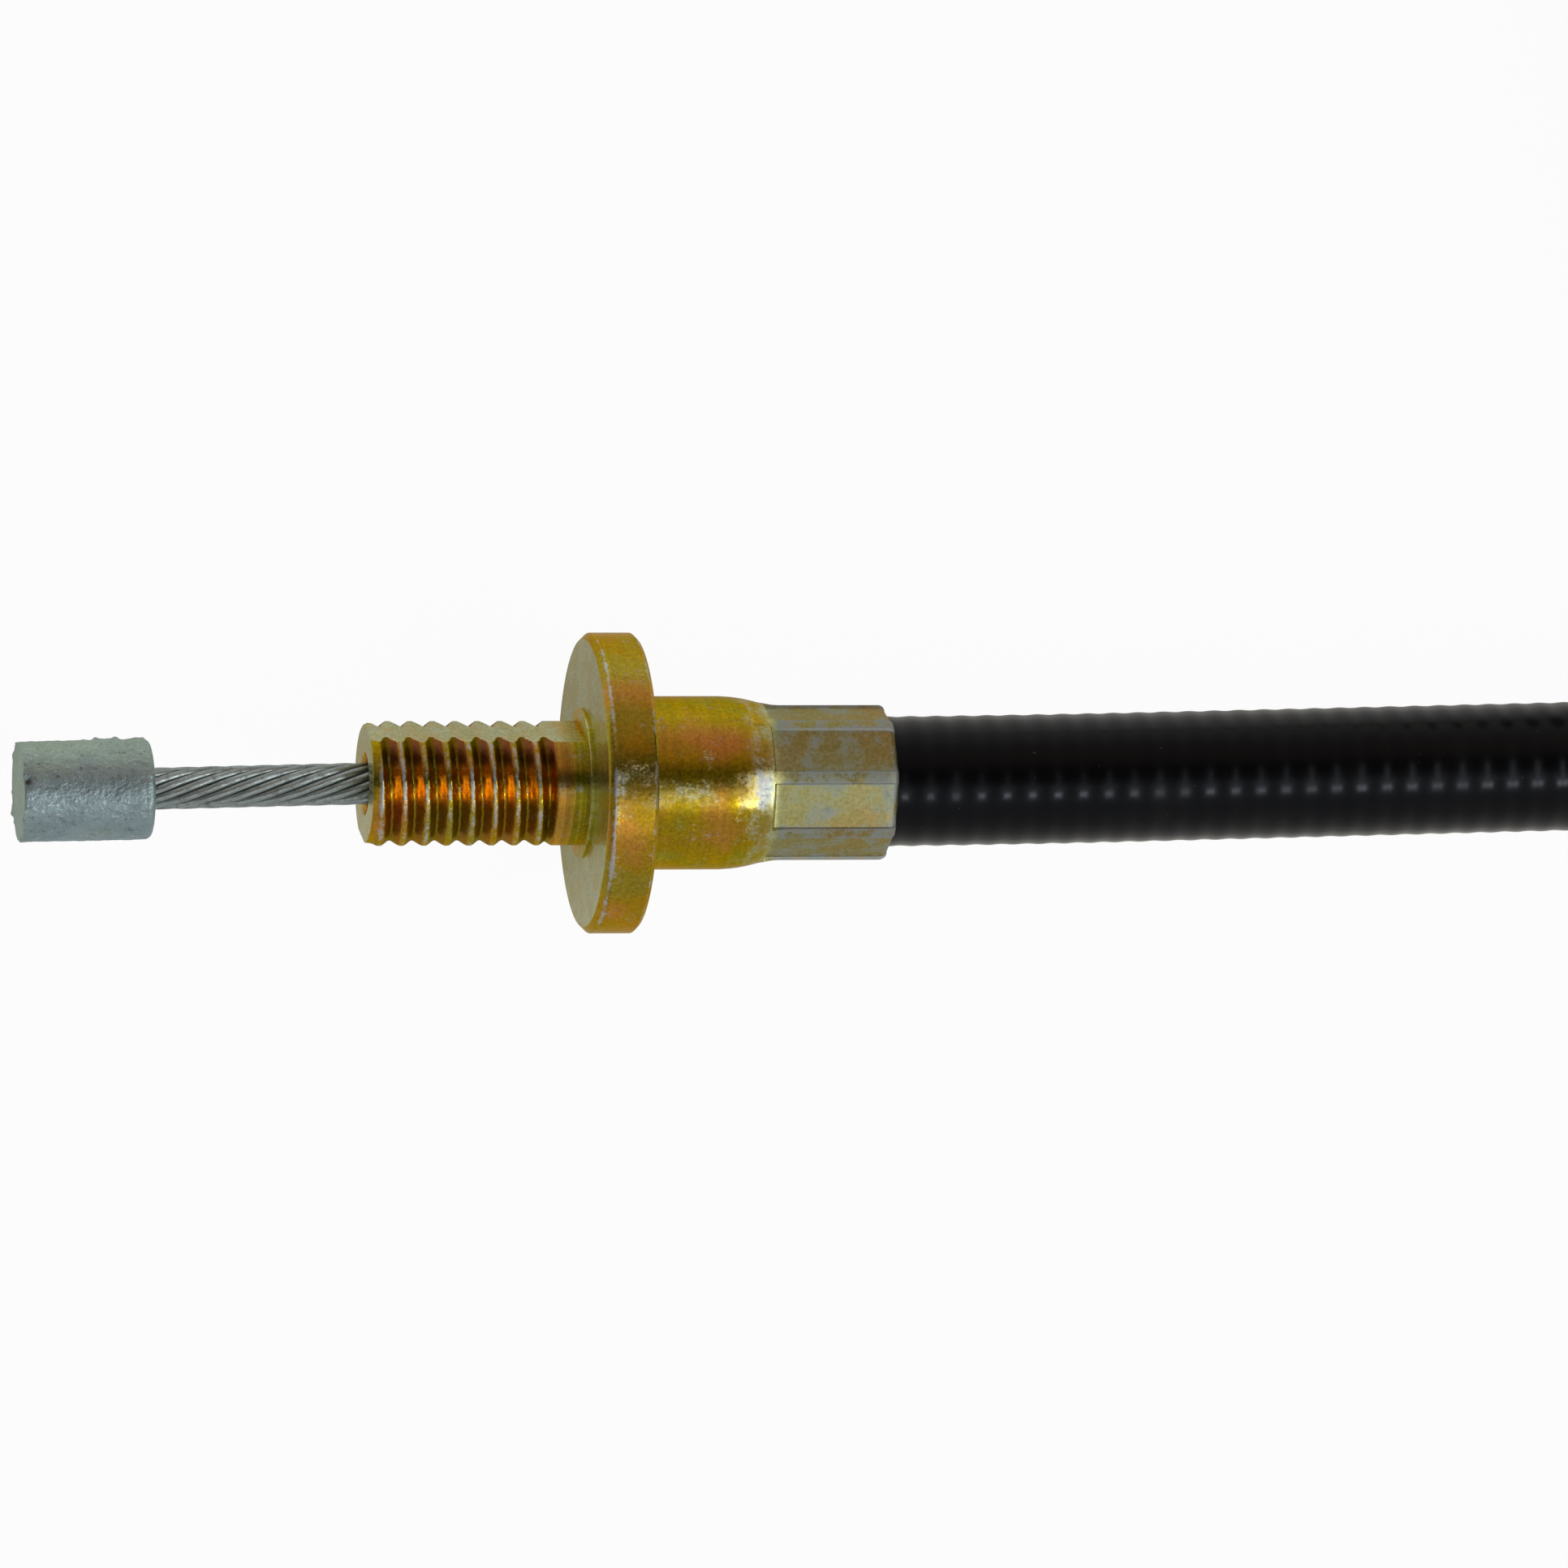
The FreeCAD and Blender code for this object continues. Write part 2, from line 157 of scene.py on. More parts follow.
def lattice(cells, seed):
    """Repeatable numbers from 0 to 1 for whole-number cells, by mixing their bits."""
    start = (seed + 101 * scene_looks().seed) * 374761393 + 668265263
    mixed = np.full(cells.shape[:-1], start, np.int64)
    for axis, factor in enumerate((73856093, 19349663, 83492791)):
        mixed ^= cells[..., axis] * factor
    mixed = (mixed ^ (mixed >> 13)) * 1274126177 & 0x7FFFFFFF
    mixed = (mixed ^ (mixed >> 16)) * 461845907 & 0x7FFFFFFF
    return (mixed >> 7 & 0xFFFF) / 65535.0


def clouds(points, size, seed):
    """Smooth noise from -1 to 1: lattice numbers mixed by the cubic ease 3t2 - 2t3 on each axis."""
    scaled = np.asarray(points, float) / size
    cell = np.floor(scaled).astype(np.int64)
    part = scaled - cell
    part = part * part * (3 - 2 * part)
    total = np.zeros(scaled.shape[:-1])
    for corner in np.ndindex(2, 2, 2):
        weight = np.prod(np.where(corner, part, 1 - part), axis=-1)
        total += weight * lattice(cell + corner, seed)
    return 2 * total - 1


def ease(low, high, value):
    """Goes from 0 to 1 between low and high, along the cubic 3t2 - 2t3."""
    part = np.clip((value - low) / (high - low), 0, 1)
    return part * part * (3 - 2 * part)


def bell(value, middle, width):
    """A bell from 0 to 1 round the middle."""
    return np.exp(-(((value - middle) / width) ** 2))


def at_angle(angles, degrees, width):
    """A bell round the axis. 0 degrees is the picture's top and 90 faces the camera."""
    return bell(angles, math.radians(degrees), width)


# Meshes from grids of points


def placed(name, data):
    """A new object in the scene."""
    piece = bpy.data.objects.new(name, data)
    bpy.context.scene.collection.objects.link(piece)
    return piece


def stand(piece, right, top, back, place):
    """Gives an object its own X, Y and Z axes and its place in metres."""
    matrix = np.eye(4)
    matrix[:3] = np.stack([right, top, back, place], axis=1)
    piece.matrix_world = Matrix(matrix.tolist())


def grid_piece(name, grid, body, material, layers=(), loop=False, caps=False, sharp=35.0):
    """A piece from a grid of points in millimetres, whose rows are rings round the piece.

    loop joins the last ring to the first, and caps closes both ends with a fan to their middle.
    layers are named numbers for each point, which the material reads.
    """
    rows, columns = grid.shape[:2]
    vertices = grid.reshape(-1, 3)
    first = np.arange(rows if loop else rows - 1)[:, None]
    here = np.arange(columns)
    after = (here + 1) % columns
    a, b = first * columns, (first + 1) % rows * columns
    faces = np.stack([a + here, a + after, b + after, b + here], axis=-1).reshape(-1, 4).tolist()
    values = {key: np.asarray(layer, float).reshape(-1) for key, layer in dict(layers).items()}
    if caps:
        start, last = len(vertices), (rows - 1) * columns
        vertices = np.concatenate([vertices, [grid[0].mean(axis=0), grid[-1].mean(axis=0)]])
        for middle, one, two in ((start, after, here), (start + 1, last + here, last + after)):
            faces += [(middle, *pair) for pair in zip(one.tolist(), two.tolist())]
        for key, layer in values.items():
            values[key] = np.concatenate([layer, [layer[:columns].mean(), layer[-columns:].mean()]])
    mesh = bpy.data.meshes.new(name)
    mesh.from_pydata(vertices * MM, [], faces)
    mesh.validate()
    mesh.shade_smooth()
    mesh.set_sharp_from_angle(angle=math.radians(sharp))
    for key, layer in values.items():
        mesh.attributes.new(key, "FLOAT", "POINT").data.foreach_set("value", layer.astype(np.float32))
    mesh.materials.append(material)
    piece = placed(name, mesh)
    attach(piece, body)
    return piece


# Materials


class Nodes:
    """Adds shader nodes to a tree and returns their outputs."""

    def __init__(self, tree):
        self.tree = tree

    def __call__(self, kind, inputs=(), out=0, **settings):
        node = self.tree.nodes.new("ShaderNode" + kind)
        for key, value in settings.items():
            setattr(node, key, value)
        for key, value in dict(inputs).items():
            if isinstance(value, bpy.types.NodeSocket):
                self.tree.links.new(value, node.inputs[key])
            else:
                node.inputs[key].default_value = value
        return node.outputs[out]

    def mix(self, factor, one, two):
        """A colour between two colours."""
        inputs = {0: factor}
        for key, value in ((6, one), (7, two)):
            inputs[key] = value if isinstance(value, bpy.types.NodeSocket) else (*value, 1.0)
        return self("Mix", inputs, 2, data_type="RGBA")

    def math(self, operation, *values):
        """One sum on numbers."""
        return self("Math", dict(enumerate(values)), operation=operation)

    def add(self, one, two, clamp=False):
        """The sum of two numbers, where clamp keeps it from 0 to 1."""
        return self("Math", {0: one, 1: two}, operation="ADD", use_clamp=clamp)

    def times(self, one, two):
        """The product of two numbers."""
        return self.math("MULTIPLY", one, two)

    def scaled(self, colour, factor):
        """A colour times a number."""
        return self("VectorMath", {0: colour, 3: factor}, operation="SCALE")

    def between(self, value, low, high, start=0.0, end=1.0):
        """A number moved from the range low to high into the range start to end."""
        inputs = {0: value, 1: low, 2: high, 3: start, 4: end}
        return self("MapRange", inputs, interpolation_type="SMOOTHSTEP")

    def noise(self, place, scale, detail=3.0, roughness=0.55):
        """Noise from 0 to 1 at a place."""
        inputs = {"Vector": place, "Scale": scale, "Detail": detail, "Roughness": roughness}
        return self("TexNoise", inputs)

    def stretched(self, place, scale):
        """A place with each axis scaled by itself."""
        return self("Mapping", {"Vector": place, "Scale": scale})

    def layer(self, name):
        """A number that the mesh carries at each point."""
        return self("Attribute", out=2, attribute_name=name)


def finish(name, metallic, shade, turned=""):
    """A material whose colour, roughness and relief in micrometres come from the function shade.

    A fourth value from shade, where there is one, tints its glancing reflections. turned names
    the mesh's layer that says how far the turning marks draw the gloss out along X.
    """
    material = bpy.data.materials.get(name)
    if material:
        return material
    material = bpy.data.materials.new(name)
    material.use_nodes = True
    nodes = Nodes(material.node_tree)
    shader = material.node_tree.nodes["Principled BSDF"]
    colour, roughness, relief, *glancing = shade(nodes, nodes("TexCoord", out=3))
    bump = nodes("Bump", {"Height": relief, "Distance": 0.001 * MM, "Strength": 1.0})
    values = {"Base Color": colour, "Roughness": roughness, "Normal": bump}
    for tint in glancing:
        values["Specular Tint"] = tint
    if turned:
        values["Anisotropic"] = nodes.times(nodes.layer(turned), 0.92)
        values["Tangent"] = nodes("Tangent", direction_type="RADIAL", axis="X")
        shader.inputs["Anisotropic Rotation"].default_value = 0.25
    for key, value in values.items():
        material.node_tree.links.new(value, shader.inputs[key])
    shader.inputs["Metallic"].default_value = metallic
    return material


def plated_steel():
    """Yellow passivated zinc plating: gold with olive and amber clouds, worn silver on edges.

    The mesh's layers say where it is rubbed, thinly coloured, reddish, marked by the turning tool and
    darker. The rubbed and thinly coloured layers also hold a painted highlight where the fitting faces
    the camera, and the thin one paints light on the ring in the flange's shadow. The darker layer holds
    the crimp's duller plating and painted shade on the thread's sides, which also browns their glancing
    reflections.
    """
    looks = scene_looks()
    white, greenish = (1.0, 1.0, 1.0), (0.69, 0.76, 0.71)
    yellow_tint, brown_tint = (1.0, 0.82, 0.45), (0.60, 0.32, 0.06)

    def shade(nodes, place):
        patches = nodes.noise(place, 230.0, 2.0)
        fine = nodes.noise(place, 4200.0, 5.0, 0.75)
        coarse = nodes.noise(place, 620.0, 6.0, 0.68)
        dull_and_shade = nodes.layer("dull_and_shade")
        film = nodes.mix(nodes.between(patches, 0.40, 0.52), looks.olive, looks.gold)
        reddish = nodes.add(nodes.between(patches, 0.52, 0.68, 0.0, 0.4), nodes.layer("amber"))
        film = nodes.mix(reddish, film, looks.amber)
        thin = nodes.between(coarse, 0.42, 0.72, -0.45, 0.1)
        pale_and_highlight = nodes.add(nodes.layer("pale_and_highlight"), thin, clamp=True)
        film = nodes.mix(pale_and_highlight, film, looks.pale_and_highlight)
        film = nodes.scaled(film, nodes.between(fine, 0.30, 0.70, 0.72, 1.16))
        scuffs = nodes.noise(nodes.stretched(place, (0.8, 1.0, 1.0)), 3200.0, 6.0, 0.8)
        scuffs = nodes.times(nodes.between(scuffs, 0.54, 0.64), nodes.between(coarse, 0.48, 0.64))
        rubbed = nodes.add(nodes.layer("wear_and_highlight"), nodes.between(coarse, 0.3, 0.7, -0.3, 0.3))
        rubbed = nodes.add(rubbed, nodes.between(fine, 0.3, 0.7, -0.15, 0.15))
        rubbed = nodes.math("MAXIMUM", nodes.between(rubbed, 0.28, 0.74), nodes.times(scuffs, 0.8))
        turning = nodes.noise(nodes.stretched(place, (1.0, 0.02, 0.02)), 4600.0, 2.0)
        lines = nodes.between(turning, 0.38, 0.62, -0.20, 0.20)
        lines = nodes.times(lines, nodes.math("POWER", nodes.layer("turned"), 2.5))
        colour = nodes.mix(rubbed, film, nodes.mix(pale_and_highlight, looks.worn, greenish))
        colour = nodes.scaled(colour, nodes.add(lines, 1.0))
        # Darker by the layer: the crimp's duller plating, and painted shade on the thread's sides.
        colour = nodes.scaled(colour, nodes.between(dull_and_shade, 0.0, 2.0, 1.0, 0.38))
        glancing = nodes.mix(pale_and_highlight, yellow_tint, white)
        # Painted shade: the thread's shaded sides get brown glancing reflections.
        glancing = nodes.mix(nodes.between(dull_and_shade, 1.2, 1.6), glancing, brown_tint)
        rough = nodes.add(nodes.times(pale_and_highlight, 0.07), nodes.between(fine, 0.3, 0.7, 0.17, 0.25))
        rough = nodes.add(rough, nodes.times(rubbed, 0.16))
        rough = nodes.add(rough, nodes.between(dull_and_shade, 0.0, 1.0, 0.0, 0.16))
        depth = nodes.between(nodes.layer("turned"), 0.5, 1.0, 2.0, 14.0)
        relief = nodes.add(nodes.times(turning, depth), nodes.times(scuffs, -6.0))
        relief = nodes.add(relief, nodes.times(nodes.noise(place, 2600.0, 1.0), 9.0))
        return colour, rough, relief, glancing

    return finish("yellow plating", 1.0, shade, turned="turned")


def cast_zinc():
    """Dull die-cast zinc: blue-grey with a sandy skin, greener and darker in places, and painted shade,
    nearly black, in its pit.
    """
    zinc = scene_looks().zinc
    dim, dark = ([share * c for c in zinc] for share in (0.80, 0.35))
    green, sandy, pit_shade = (0.55, 0.70, 0.52), (0.92, 0.97, 1.0), (0.05, 0.05, 0.04)

    def shade(nodes, place):
        cloud = nodes.noise(place, 500.0, 5.0, 0.65)
        sand = nodes.noise(place, 4200.0, 4.0, 0.75)
        spots = nodes.noise(place, 2600.0, 5.0, 0.7)
        colour = nodes.mix(nodes.between(cloud, 0.35, 0.65), dim, zinc)
        colour = nodes.mix(nodes.times(nodes.layer("green"), 0.7), colour, green)
        colour = nodes.mix(nodes.between(spots, 0.56, 0.68, 0.0, 0.7), colour, dark)
        colour = nodes.mix(nodes.between(sand, 0.58, 0.72, 0.0, 0.8), colour, sandy)
        # Painted shade: the pit is coloured nearly black.
        colour = nodes.mix(nodes.layer("pit"), colour, pit_shade)
        rough = nodes.between(sand, 0.40, 0.75, 0.53, 0.31)
        skin = nodes.times(nodes.noise(place, 4200.0, 2.0), 60.0)
        return colour, rough, nodes.add(skin, nodes.times(cloud, 70.0))

    return finish("die-cast zinc", 1.0, shade)


def cable_steel():
    """Dull galvanised wire, streaked along its length, with painted shade where the wires meet."""
    looks = scene_looks()
    dim, stain = [0.6 * c for c in looks.steel], (0.24, 0.26, 0.24)

    def shade(nodes, place):
        along = nodes("CombineXYZ", {0: nodes.layer("along"), 1: nodes.layer("across")})
        streaks = nodes.noise(nodes.stretched(along, (700.0, 5200.0, 1.0)), 1.0, 5.0, 0.7)
        cloud = nodes.noise(place, 2300.0, 5.0, 0.7)
        colour = nodes.mix(nodes.between(streaks, 0.35, 0.7), dim, looks.steel)
        colour = nodes.mix(nodes.between(cloud, 0.52, 0.66, 0.0, 0.6), colour, stain)
        # Painted shade on the wires' sides where they meet.
        colour = nodes.mix(nodes.times(nodes.layer("crevice_shade"), 0.95), colour, looks.crevice_shade)
        rough = nodes.between(cloud, 0.35, 0.65, 0.30, 0.5)
        dents = nodes.noise(nodes.stretched(along, (1500.0, 5200.0, 1.0)), 1.0, 1.0)
        return colour, rough, nodes.add(nodes.times(dents, 16.0), nodes.times(cloud, 10.0))

    return finish("galvanised wire", 1.0, shade)


def jacket_plastic():
    """Black extruded plastic with a slight gloss, a faint grain and dusty places.

    Its reflections are weak face on and strong at a glancing angle, and a sheen stands for dust.
    """
    looks = scene_looks()
    dusty, speck = (0.010, 0.010, 0.009), (0.12, 0.12, 0.11)

    def shade(nodes, place):
        dust = nodes.noise(place, 260.0, 5.0, 0.6)
        specks = nodes.between(nodes.noise(place, 2600.0, 2.0, 0.6), 0.74, 0.80, 0.0, 0.7)
        colour = nodes.mix(nodes.between(dust, 0.55, 0.8, 0.0, 0.5), looks.jacket, dusty)
        colour = nodes.mix(specks, colour, speck)
        rough = nodes.between(dust, 0.3, 0.75, 0.20, 0.28)
        return colour, rough, nodes.times(nodes.noise(place, 3000.0, 1.0), 2.5)

    material = finish("black plastic", 0.0, shade)
    settings = {
        "Specular Tint": (0.36, 0.39, 0.45, 1.0),
        "Sheen Weight": 0.85,
        "Sheen Roughness": 0.30,
        "Sheen Tint": (1.0, 1.0, 0.88, 1.0),
    }
    for key, value in settings.items():
        material.node_tree.nodes["Principled BSDF"].inputs[key].default_value = value
    return material


def spiral_steel():
    """Bright wire of the armour under the jacket, wound in a close spiral, with painted shade in the
    valleys between its turns.
    """
    shaded_valley, crest = (0.22, 0.22, 0.22), (0.55, 0.55, 0.54)

    def shade(nodes, place):
        inputs = {"Vector": place, "Scale": 95.0, "Distortion": 0.2}
        turns = nodes("TexWave", inputs, 1, bands_direction="X")
        rough = nodes.between(nodes.noise(place, 900.0), 0.3, 0.7, 0.3, 0.45)
        # Painted shade: darker in the valleys between turns, lighter on the crests.
        return nodes.mix(turns, shaded_valley, crest), rough, nodes.times(turns, 200.0)

    return finish("spiral armour", 1.0, shade)


def liner_plastic():
    """White slippery plastic of the liner."""
    cream, white = (0.78, 0.77, 0.72), (0.86, 0.86, 0.83)

    def shade(nodes, place):
        cloud = nodes.noise(place, 500.0)
        rough = nodes.between(cloud, 0.3, 0.7, 0.28, 0.4)
        return nodes.mix(cloud, cream, white), rough, nodes.times(cloud, 10.0)

    return finish("slippery liner", 0.0, shade)


# Shapes of the pieces


# Shares of the thread's pitch, an angle in radians, and the crimp's start along the sleeve
CREST_PHASE = 0.375
CREST_FLAT = 0.1
FLANK = 0.347
LAND_EDGE = 0.012
CRIMP = 8.0


def flat_half():
    """Half the angle that a flat of the shank spans."""
    sizes = scene_sizes()
    return math.acos(sizes.flat / (sizes.shank / 2))


def on_flat(radius, angles):
    """Whether a place lies on one of the shank's flats."""
    sizes = scene_sizes()
    return np.abs(np.cos(angles - sizes.flat_turn)) * radius > sizes.flat - 0.02


def facet_half():
    """Half the angle that a facet of the crimp spans."""
    sizes = scene_sizes()
    return math.atan(sizes.facet_width / sizes.facets)


def from_facet(angle):
    """Angle from the middle of the nearest facet."""
    return (angle - scene_sizes().facet_turn + np.pi / 8) % (np.pi / 4) - np.pi / 8


def thread_depth(x, angle):
    """Depth of the rolled thread at a place on the shank, from the crests down.

    One thread, right-handed: a crest lies where x / pitch - angle / full turn is the crest
    phase. In shares of the pitch from a crest come its flat and a slope, and the root takes the
    rest. The thread fades near the flats, at the tip and at the plain neck.
    """
    sizes = scene_sizes()
    groove = np.clip((np.abs(thread_turn(x, angle)) - CREST_FLAT) / FLANK, 0, 1)
    groove = groove - 0.02 * np.sin(2 * np.pi * groove)
    from_flat = np.abs((angle - sizes.flat_turn + np.pi / 2) % np.pi - np.pi / 2) - flat_half()
    depth = sizes.edge_depth + (sizes.thread_depth - sizes.edge_depth) * ease(0, 0.5, from_flat)
    fade = ease(-2.12, -2.6, x) * ease(-SHANK - 0.1, -SHANK + 0.5, x)
    return groove * depth * fade


def thread_turn(x, angle):
    """How far a place is from the nearest crest, in pitches, from -0.5 to 0.5."""
    return (x / scene_sizes().pitch - angle / (2 * np.pi) - CREST_PHASE + 0.5) % 1.0 - 0.5


def fitting_columns():
    """Angles round the fitting, every degree and a half and at the corners of facets and flats."""
    sizes = scene_sizes()
    facet, flat = facet_half(), flat_half()
    angles = [np.radians(np.arange(0, 360, 1.5))]
    for number in range(8):
        middle = sizes.facet_turn + number * math.pi / 4
        angles.append(middle + np.array([-facet - LAND_EDGE, -facet, facet, facet + LAND_EDGE]))
    for middle in (sizes.flat_turn, sizes.flat_turn + math.pi):
        angles.append(middle + np.array([-flat, flat]))
    angles = np.unique(np.round(np.concatenate(angles) % (2 * np.pi), 5))
    return angles[np.concatenate([[True], np.diff(angles) > 0.004])]


def sleeve_radius(x, angle):
    """Radius of the crimped sleeve, x from its start.

    The round sleeve falls to the lands over an eased shoulder. In the crimp each of the eight
    facets is a flat plane, its radius its distance over the cosine, and the lands stand above.
    """
    places = (0, 5.5, 6.3, 6.75, 7.2, 7.6, 8.0, 8.4, 8.85, 9.3, 17.0)
    radii = (5.5, 5.5, 5.45, 5.39, 5.31, 5.22, 5.11, 5.05, 4.96, 4.92, 4.92)
    radius = np.interp(x, places, radii)
    turn = from_facet(angle)
    plane = scene_sizes().facets / 2 / np.cos(turn)
    inside = np.abs(turn) < facet_half() + LAND_EDGE / 2
    pressed = radius + (np.minimum(plane, radius) - radius) * ease(CRIMP + 0.2, CRIMP + 0.4, x)
    return np.where(inside, pressed, radius)


def land_wear(angle):
    """Wear of the crimp's lands: strong along both edges, less in the middle."""
    turn, half = np.abs(from_facet(angle)), facet_half()
    return 0.30 * bell(turn, half + LAND_EDGE, 0.018) + 0.16 * (turn > half)


def mouth_and_bore(start):
    """(x, radius) from the crimp's outer edge round the mouth, down the socket and the bore."""
    sizes = scene_sizes()
    end, seat = start + SLEEVE_LENGTH, start + SEAT_WALL
    socket, bore = sizes.jacket / 2 + 0.03, sizes.bore / 2
    return [(end, socket + 0.10), (end - 0.1, socket), (seat, socket), (seat, bore + 0.01), (seat, bore)]


def turned_piece(name, origin, stations, nodes, wear_and_highlight, pale_and_highlight, amber):
    """A plated piece turned about X. stations are pairs of x and radius, each a ring of numbers."""
    angles = fitting_columns()
    x, radius = (
        np.array([np.broadcast_to(station[k], angles.shape) for station in stations], float)
        for k in (0, 1)
    )
    grid = np.stack([x, radius * np.cos(angles), radius * np.sin(angles)], axis=-1)
    crimp = x.max() - SLEEVE_LENGTH + CRIMP
    layers = {
        "wear_and_highlight": wear_and_highlight(x, radius, angles, grid),
        "pale_and_highlight": pale_and_highlight(x, radius, angles),
        "amber": amber(x, radius, angles),
        "turned": turning_marks(x, radius, angles),
        # The crimp's duller plating, plus painted shade on the thread's sides.
        "dull_and_shade": ease(crimp, crimp + 0.8, x) + thread_painted_shade(x, radius, angles),
    }
    grid = grid + np.array(origin)
    piece = grid_piece(name, grid, "casing", plated_steel(), layers, loop=True)
    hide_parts(*nodes)
    return piece


def thread_painted_shade(x, radius, angles):
    """Painted shade on the thread's sides: darker towards the picture's top and bottom, least where they
    face up, and nothing on flats or off the thread.
    """
    sides = ease(0.10, 0.16, np.abs(thread_turn(x, angles)))
    sides = sides * ease(-2.2, -2.5, x) * ease(-13.6, -13.4, x)
    height = np.cos(angles)
    shade = 2.0 * ease(0.17, 0.47, height) + 1.2 * ease(-0.17, -0.47, height)
    return np.where(on_flat(radius, angles), 0.0, sides * shade)


def turning_marks(x, radius, angles):
    """How much the turning shows: most on the neck and the rim's front edge, not on the flats."""
    rim = scene_sizes().flange / 2
    neck = ease(-2.6, -2.2, x) * ease(0.1, -0.1, x)
    sleeve = 0.6 * ease(11.0, 10.4, x) * (radius < rim - 0.5) * (x > 0)
    front = 0.85 * ease(0.2, 0.4, x) * ease(1.3, 0.9, x) * (radius > rim - 0.3)
    rest = 0.2 * (x < 3.5)
    marks = np.maximum.reduce([neck, sleeve, front, rest])
    return np.where(on_flat(radius, angles) & (x < -0.35), 0.0, marks)


def sleeve_stations(start, columns):
    """Rings of the sleeve from its start to its mouth."""
    places = [0.0, 0.12, 1.5, 3.0, 4.5, *np.arange(5.3, 8.0, 0.2)]
    places += [8.1, 8.18, 8.22, 8.26, 8.3, 8.34, 8.38, 8.42, 8.6, 8.8, 9.1, 9.4]
    places += [10.5, 12.0, 13.5, 14.8, 15.5]
    rows = [(start + place, sleeve_radius(place, columns)) for place in places]
    body = sleeve_radius(15.6, columns)
    for back, down in ((0.38, 0.0), (0.24, 0.04), (0.12, 0.12), (0.04, 0.24), (0.0, 0.36)):
        rows.append((start + SLEEVE_LENGTH - back, body - down))
    return rows


def face_rings(x, low, high, count):
    """Rings of a flat face from one radius to another."""
    return [(x, reach) for reach in np.linspace(low, high, count)]


def bevel_rings(x, radius):
    """Rings of a half-millimetre bevel that starts at x and ends at the radius."""
    return [(x + back, radius - 0.5 + back) for back in (0.02, 0.25, 0.48)]


class PULLCABLE_OT_camera(bpy.types.Operator):
    """Set up the camera above the cable, a little towards the nipple's side"""

    bl_idname = "pull_cable.camera"
    bl_label = "Camera"

    def execute(self, context):
        camera = placed("camera", bpy.data.cameras.new("camera"))
        context.scene.camera = camera
        camera.data.sensor_width = 36.0
        camera.data.lens = 253.0
        camera.data.clip_end = 20.0
        tilt, roll, distance = math.radians(11.3), math.radians(0.13), 700.0
        target = np.array([FLANGE_X + 12.99, -0.09, AXIS_Z])
        back = np.array([-math.sin(tilt), 0.0, math.cos(tilt)])
        level = np.array([math.cos(tilt), 0.0, math.sin(tilt)])
        upward = np.array([0.0, 1.0, 0.0])
        right = level * math.cos(roll) - upward * math.sin(roll)
        top = upward * math.cos(roll) + level * math.sin(roll)
        stand(camera, right, top, back, (target + back * distance) * MM)
        return {"FINISHED"}


def conduit_line():
    """Distances along the conduit and the points of its smooth middle line there, in millimetres."""
    turns = np.arange(0.5, TURNS * POINTS_PER_TURN) / POINTS_PER_TURN
    place = np.pi / 2 * turns
    swing = 2 * np.pi * turns - np.pi / 2
    reach = (TURN_RADIUS + BUNDLE_SPREAD * np.cos(place)) / math.cos(math.pi / POINTS_PER_TURN)
    coil_x = COIL_START[0] + reach * np.cos(swing)
    coil_y = COIL_START[1] + TURN_RADIUS + BUNDLE_SPREAD + reach * np.sin(swing)
    coil = np.stack([coil_x, coil_y, BUNDLE_HEIGHT + BUNDLE_SPREAD * np.sin(place)], axis=-1)
    seat, mouth = (FLANGE_X + 3.2 + SEAT_WALL, 0.0, AXIS_Z), (MOUTH_X + 2.2, 0.0, AXIS_Z)
    lead = [seat, mouth, (57.0, 0.58, 9.6), (93.0, 1.4, 9.8), COIL_START]
    tail = [(128.0, 98.08, 5.83), (100.7, 98.22, 5.45), FAR_SEAT]
    points = [*lead, *coil.tolist(), *tail]
    curve = bpy.data.curves.new("conduit_route", "CURVE")
    curve.dimensions = "3D"
    curve.resolution_u = 40
    spline = curve.splines.new("NURBS")
    spline.points.add(len(points) - 1)
    for point, (x, y, z) in zip(spline.points, points):
        point.co = (x * MM, y * MM, z * MM, 1.0)
    spline.order_u = 3
    spline.use_endpoint_u = True
    guide = placed("conduit_route", curve)
    bpy.context.view_layer.update()
    evaluated = guide.evaluated_get(bpy.context.evaluated_depsgraph_get())
    mesh = bpy.data.meshes.new_from_object(evaluated)
    line = np.zeros(len(mesh.vertices) * 3)
    mesh.vertices.foreach_get("co", line)
    bpy.data.meshes.remove(mesh)
    bpy.data.objects.remove(guide)
    bpy.data.curves.remove(curve)
    line = line.reshape(-1, 3) / MM
    reach = np.concatenate([[0.0], np.cumsum(np.linalg.norm(np.diff(line, axis=0), axis=1))])
    ripple = scene_sizes().ripple
    fine = np.arange(0.0, 80.0, ripple / 10)
    coarse = np.arange(fine[-1] + ripple / 4, reach[-1], ripple / 4)
    along = np.concatenate([fine, coarse, reach[-1:]])
    return along, np.stack([np.interp(along, reach, line[:, axis]) for axis in range(3)], axis=-1)


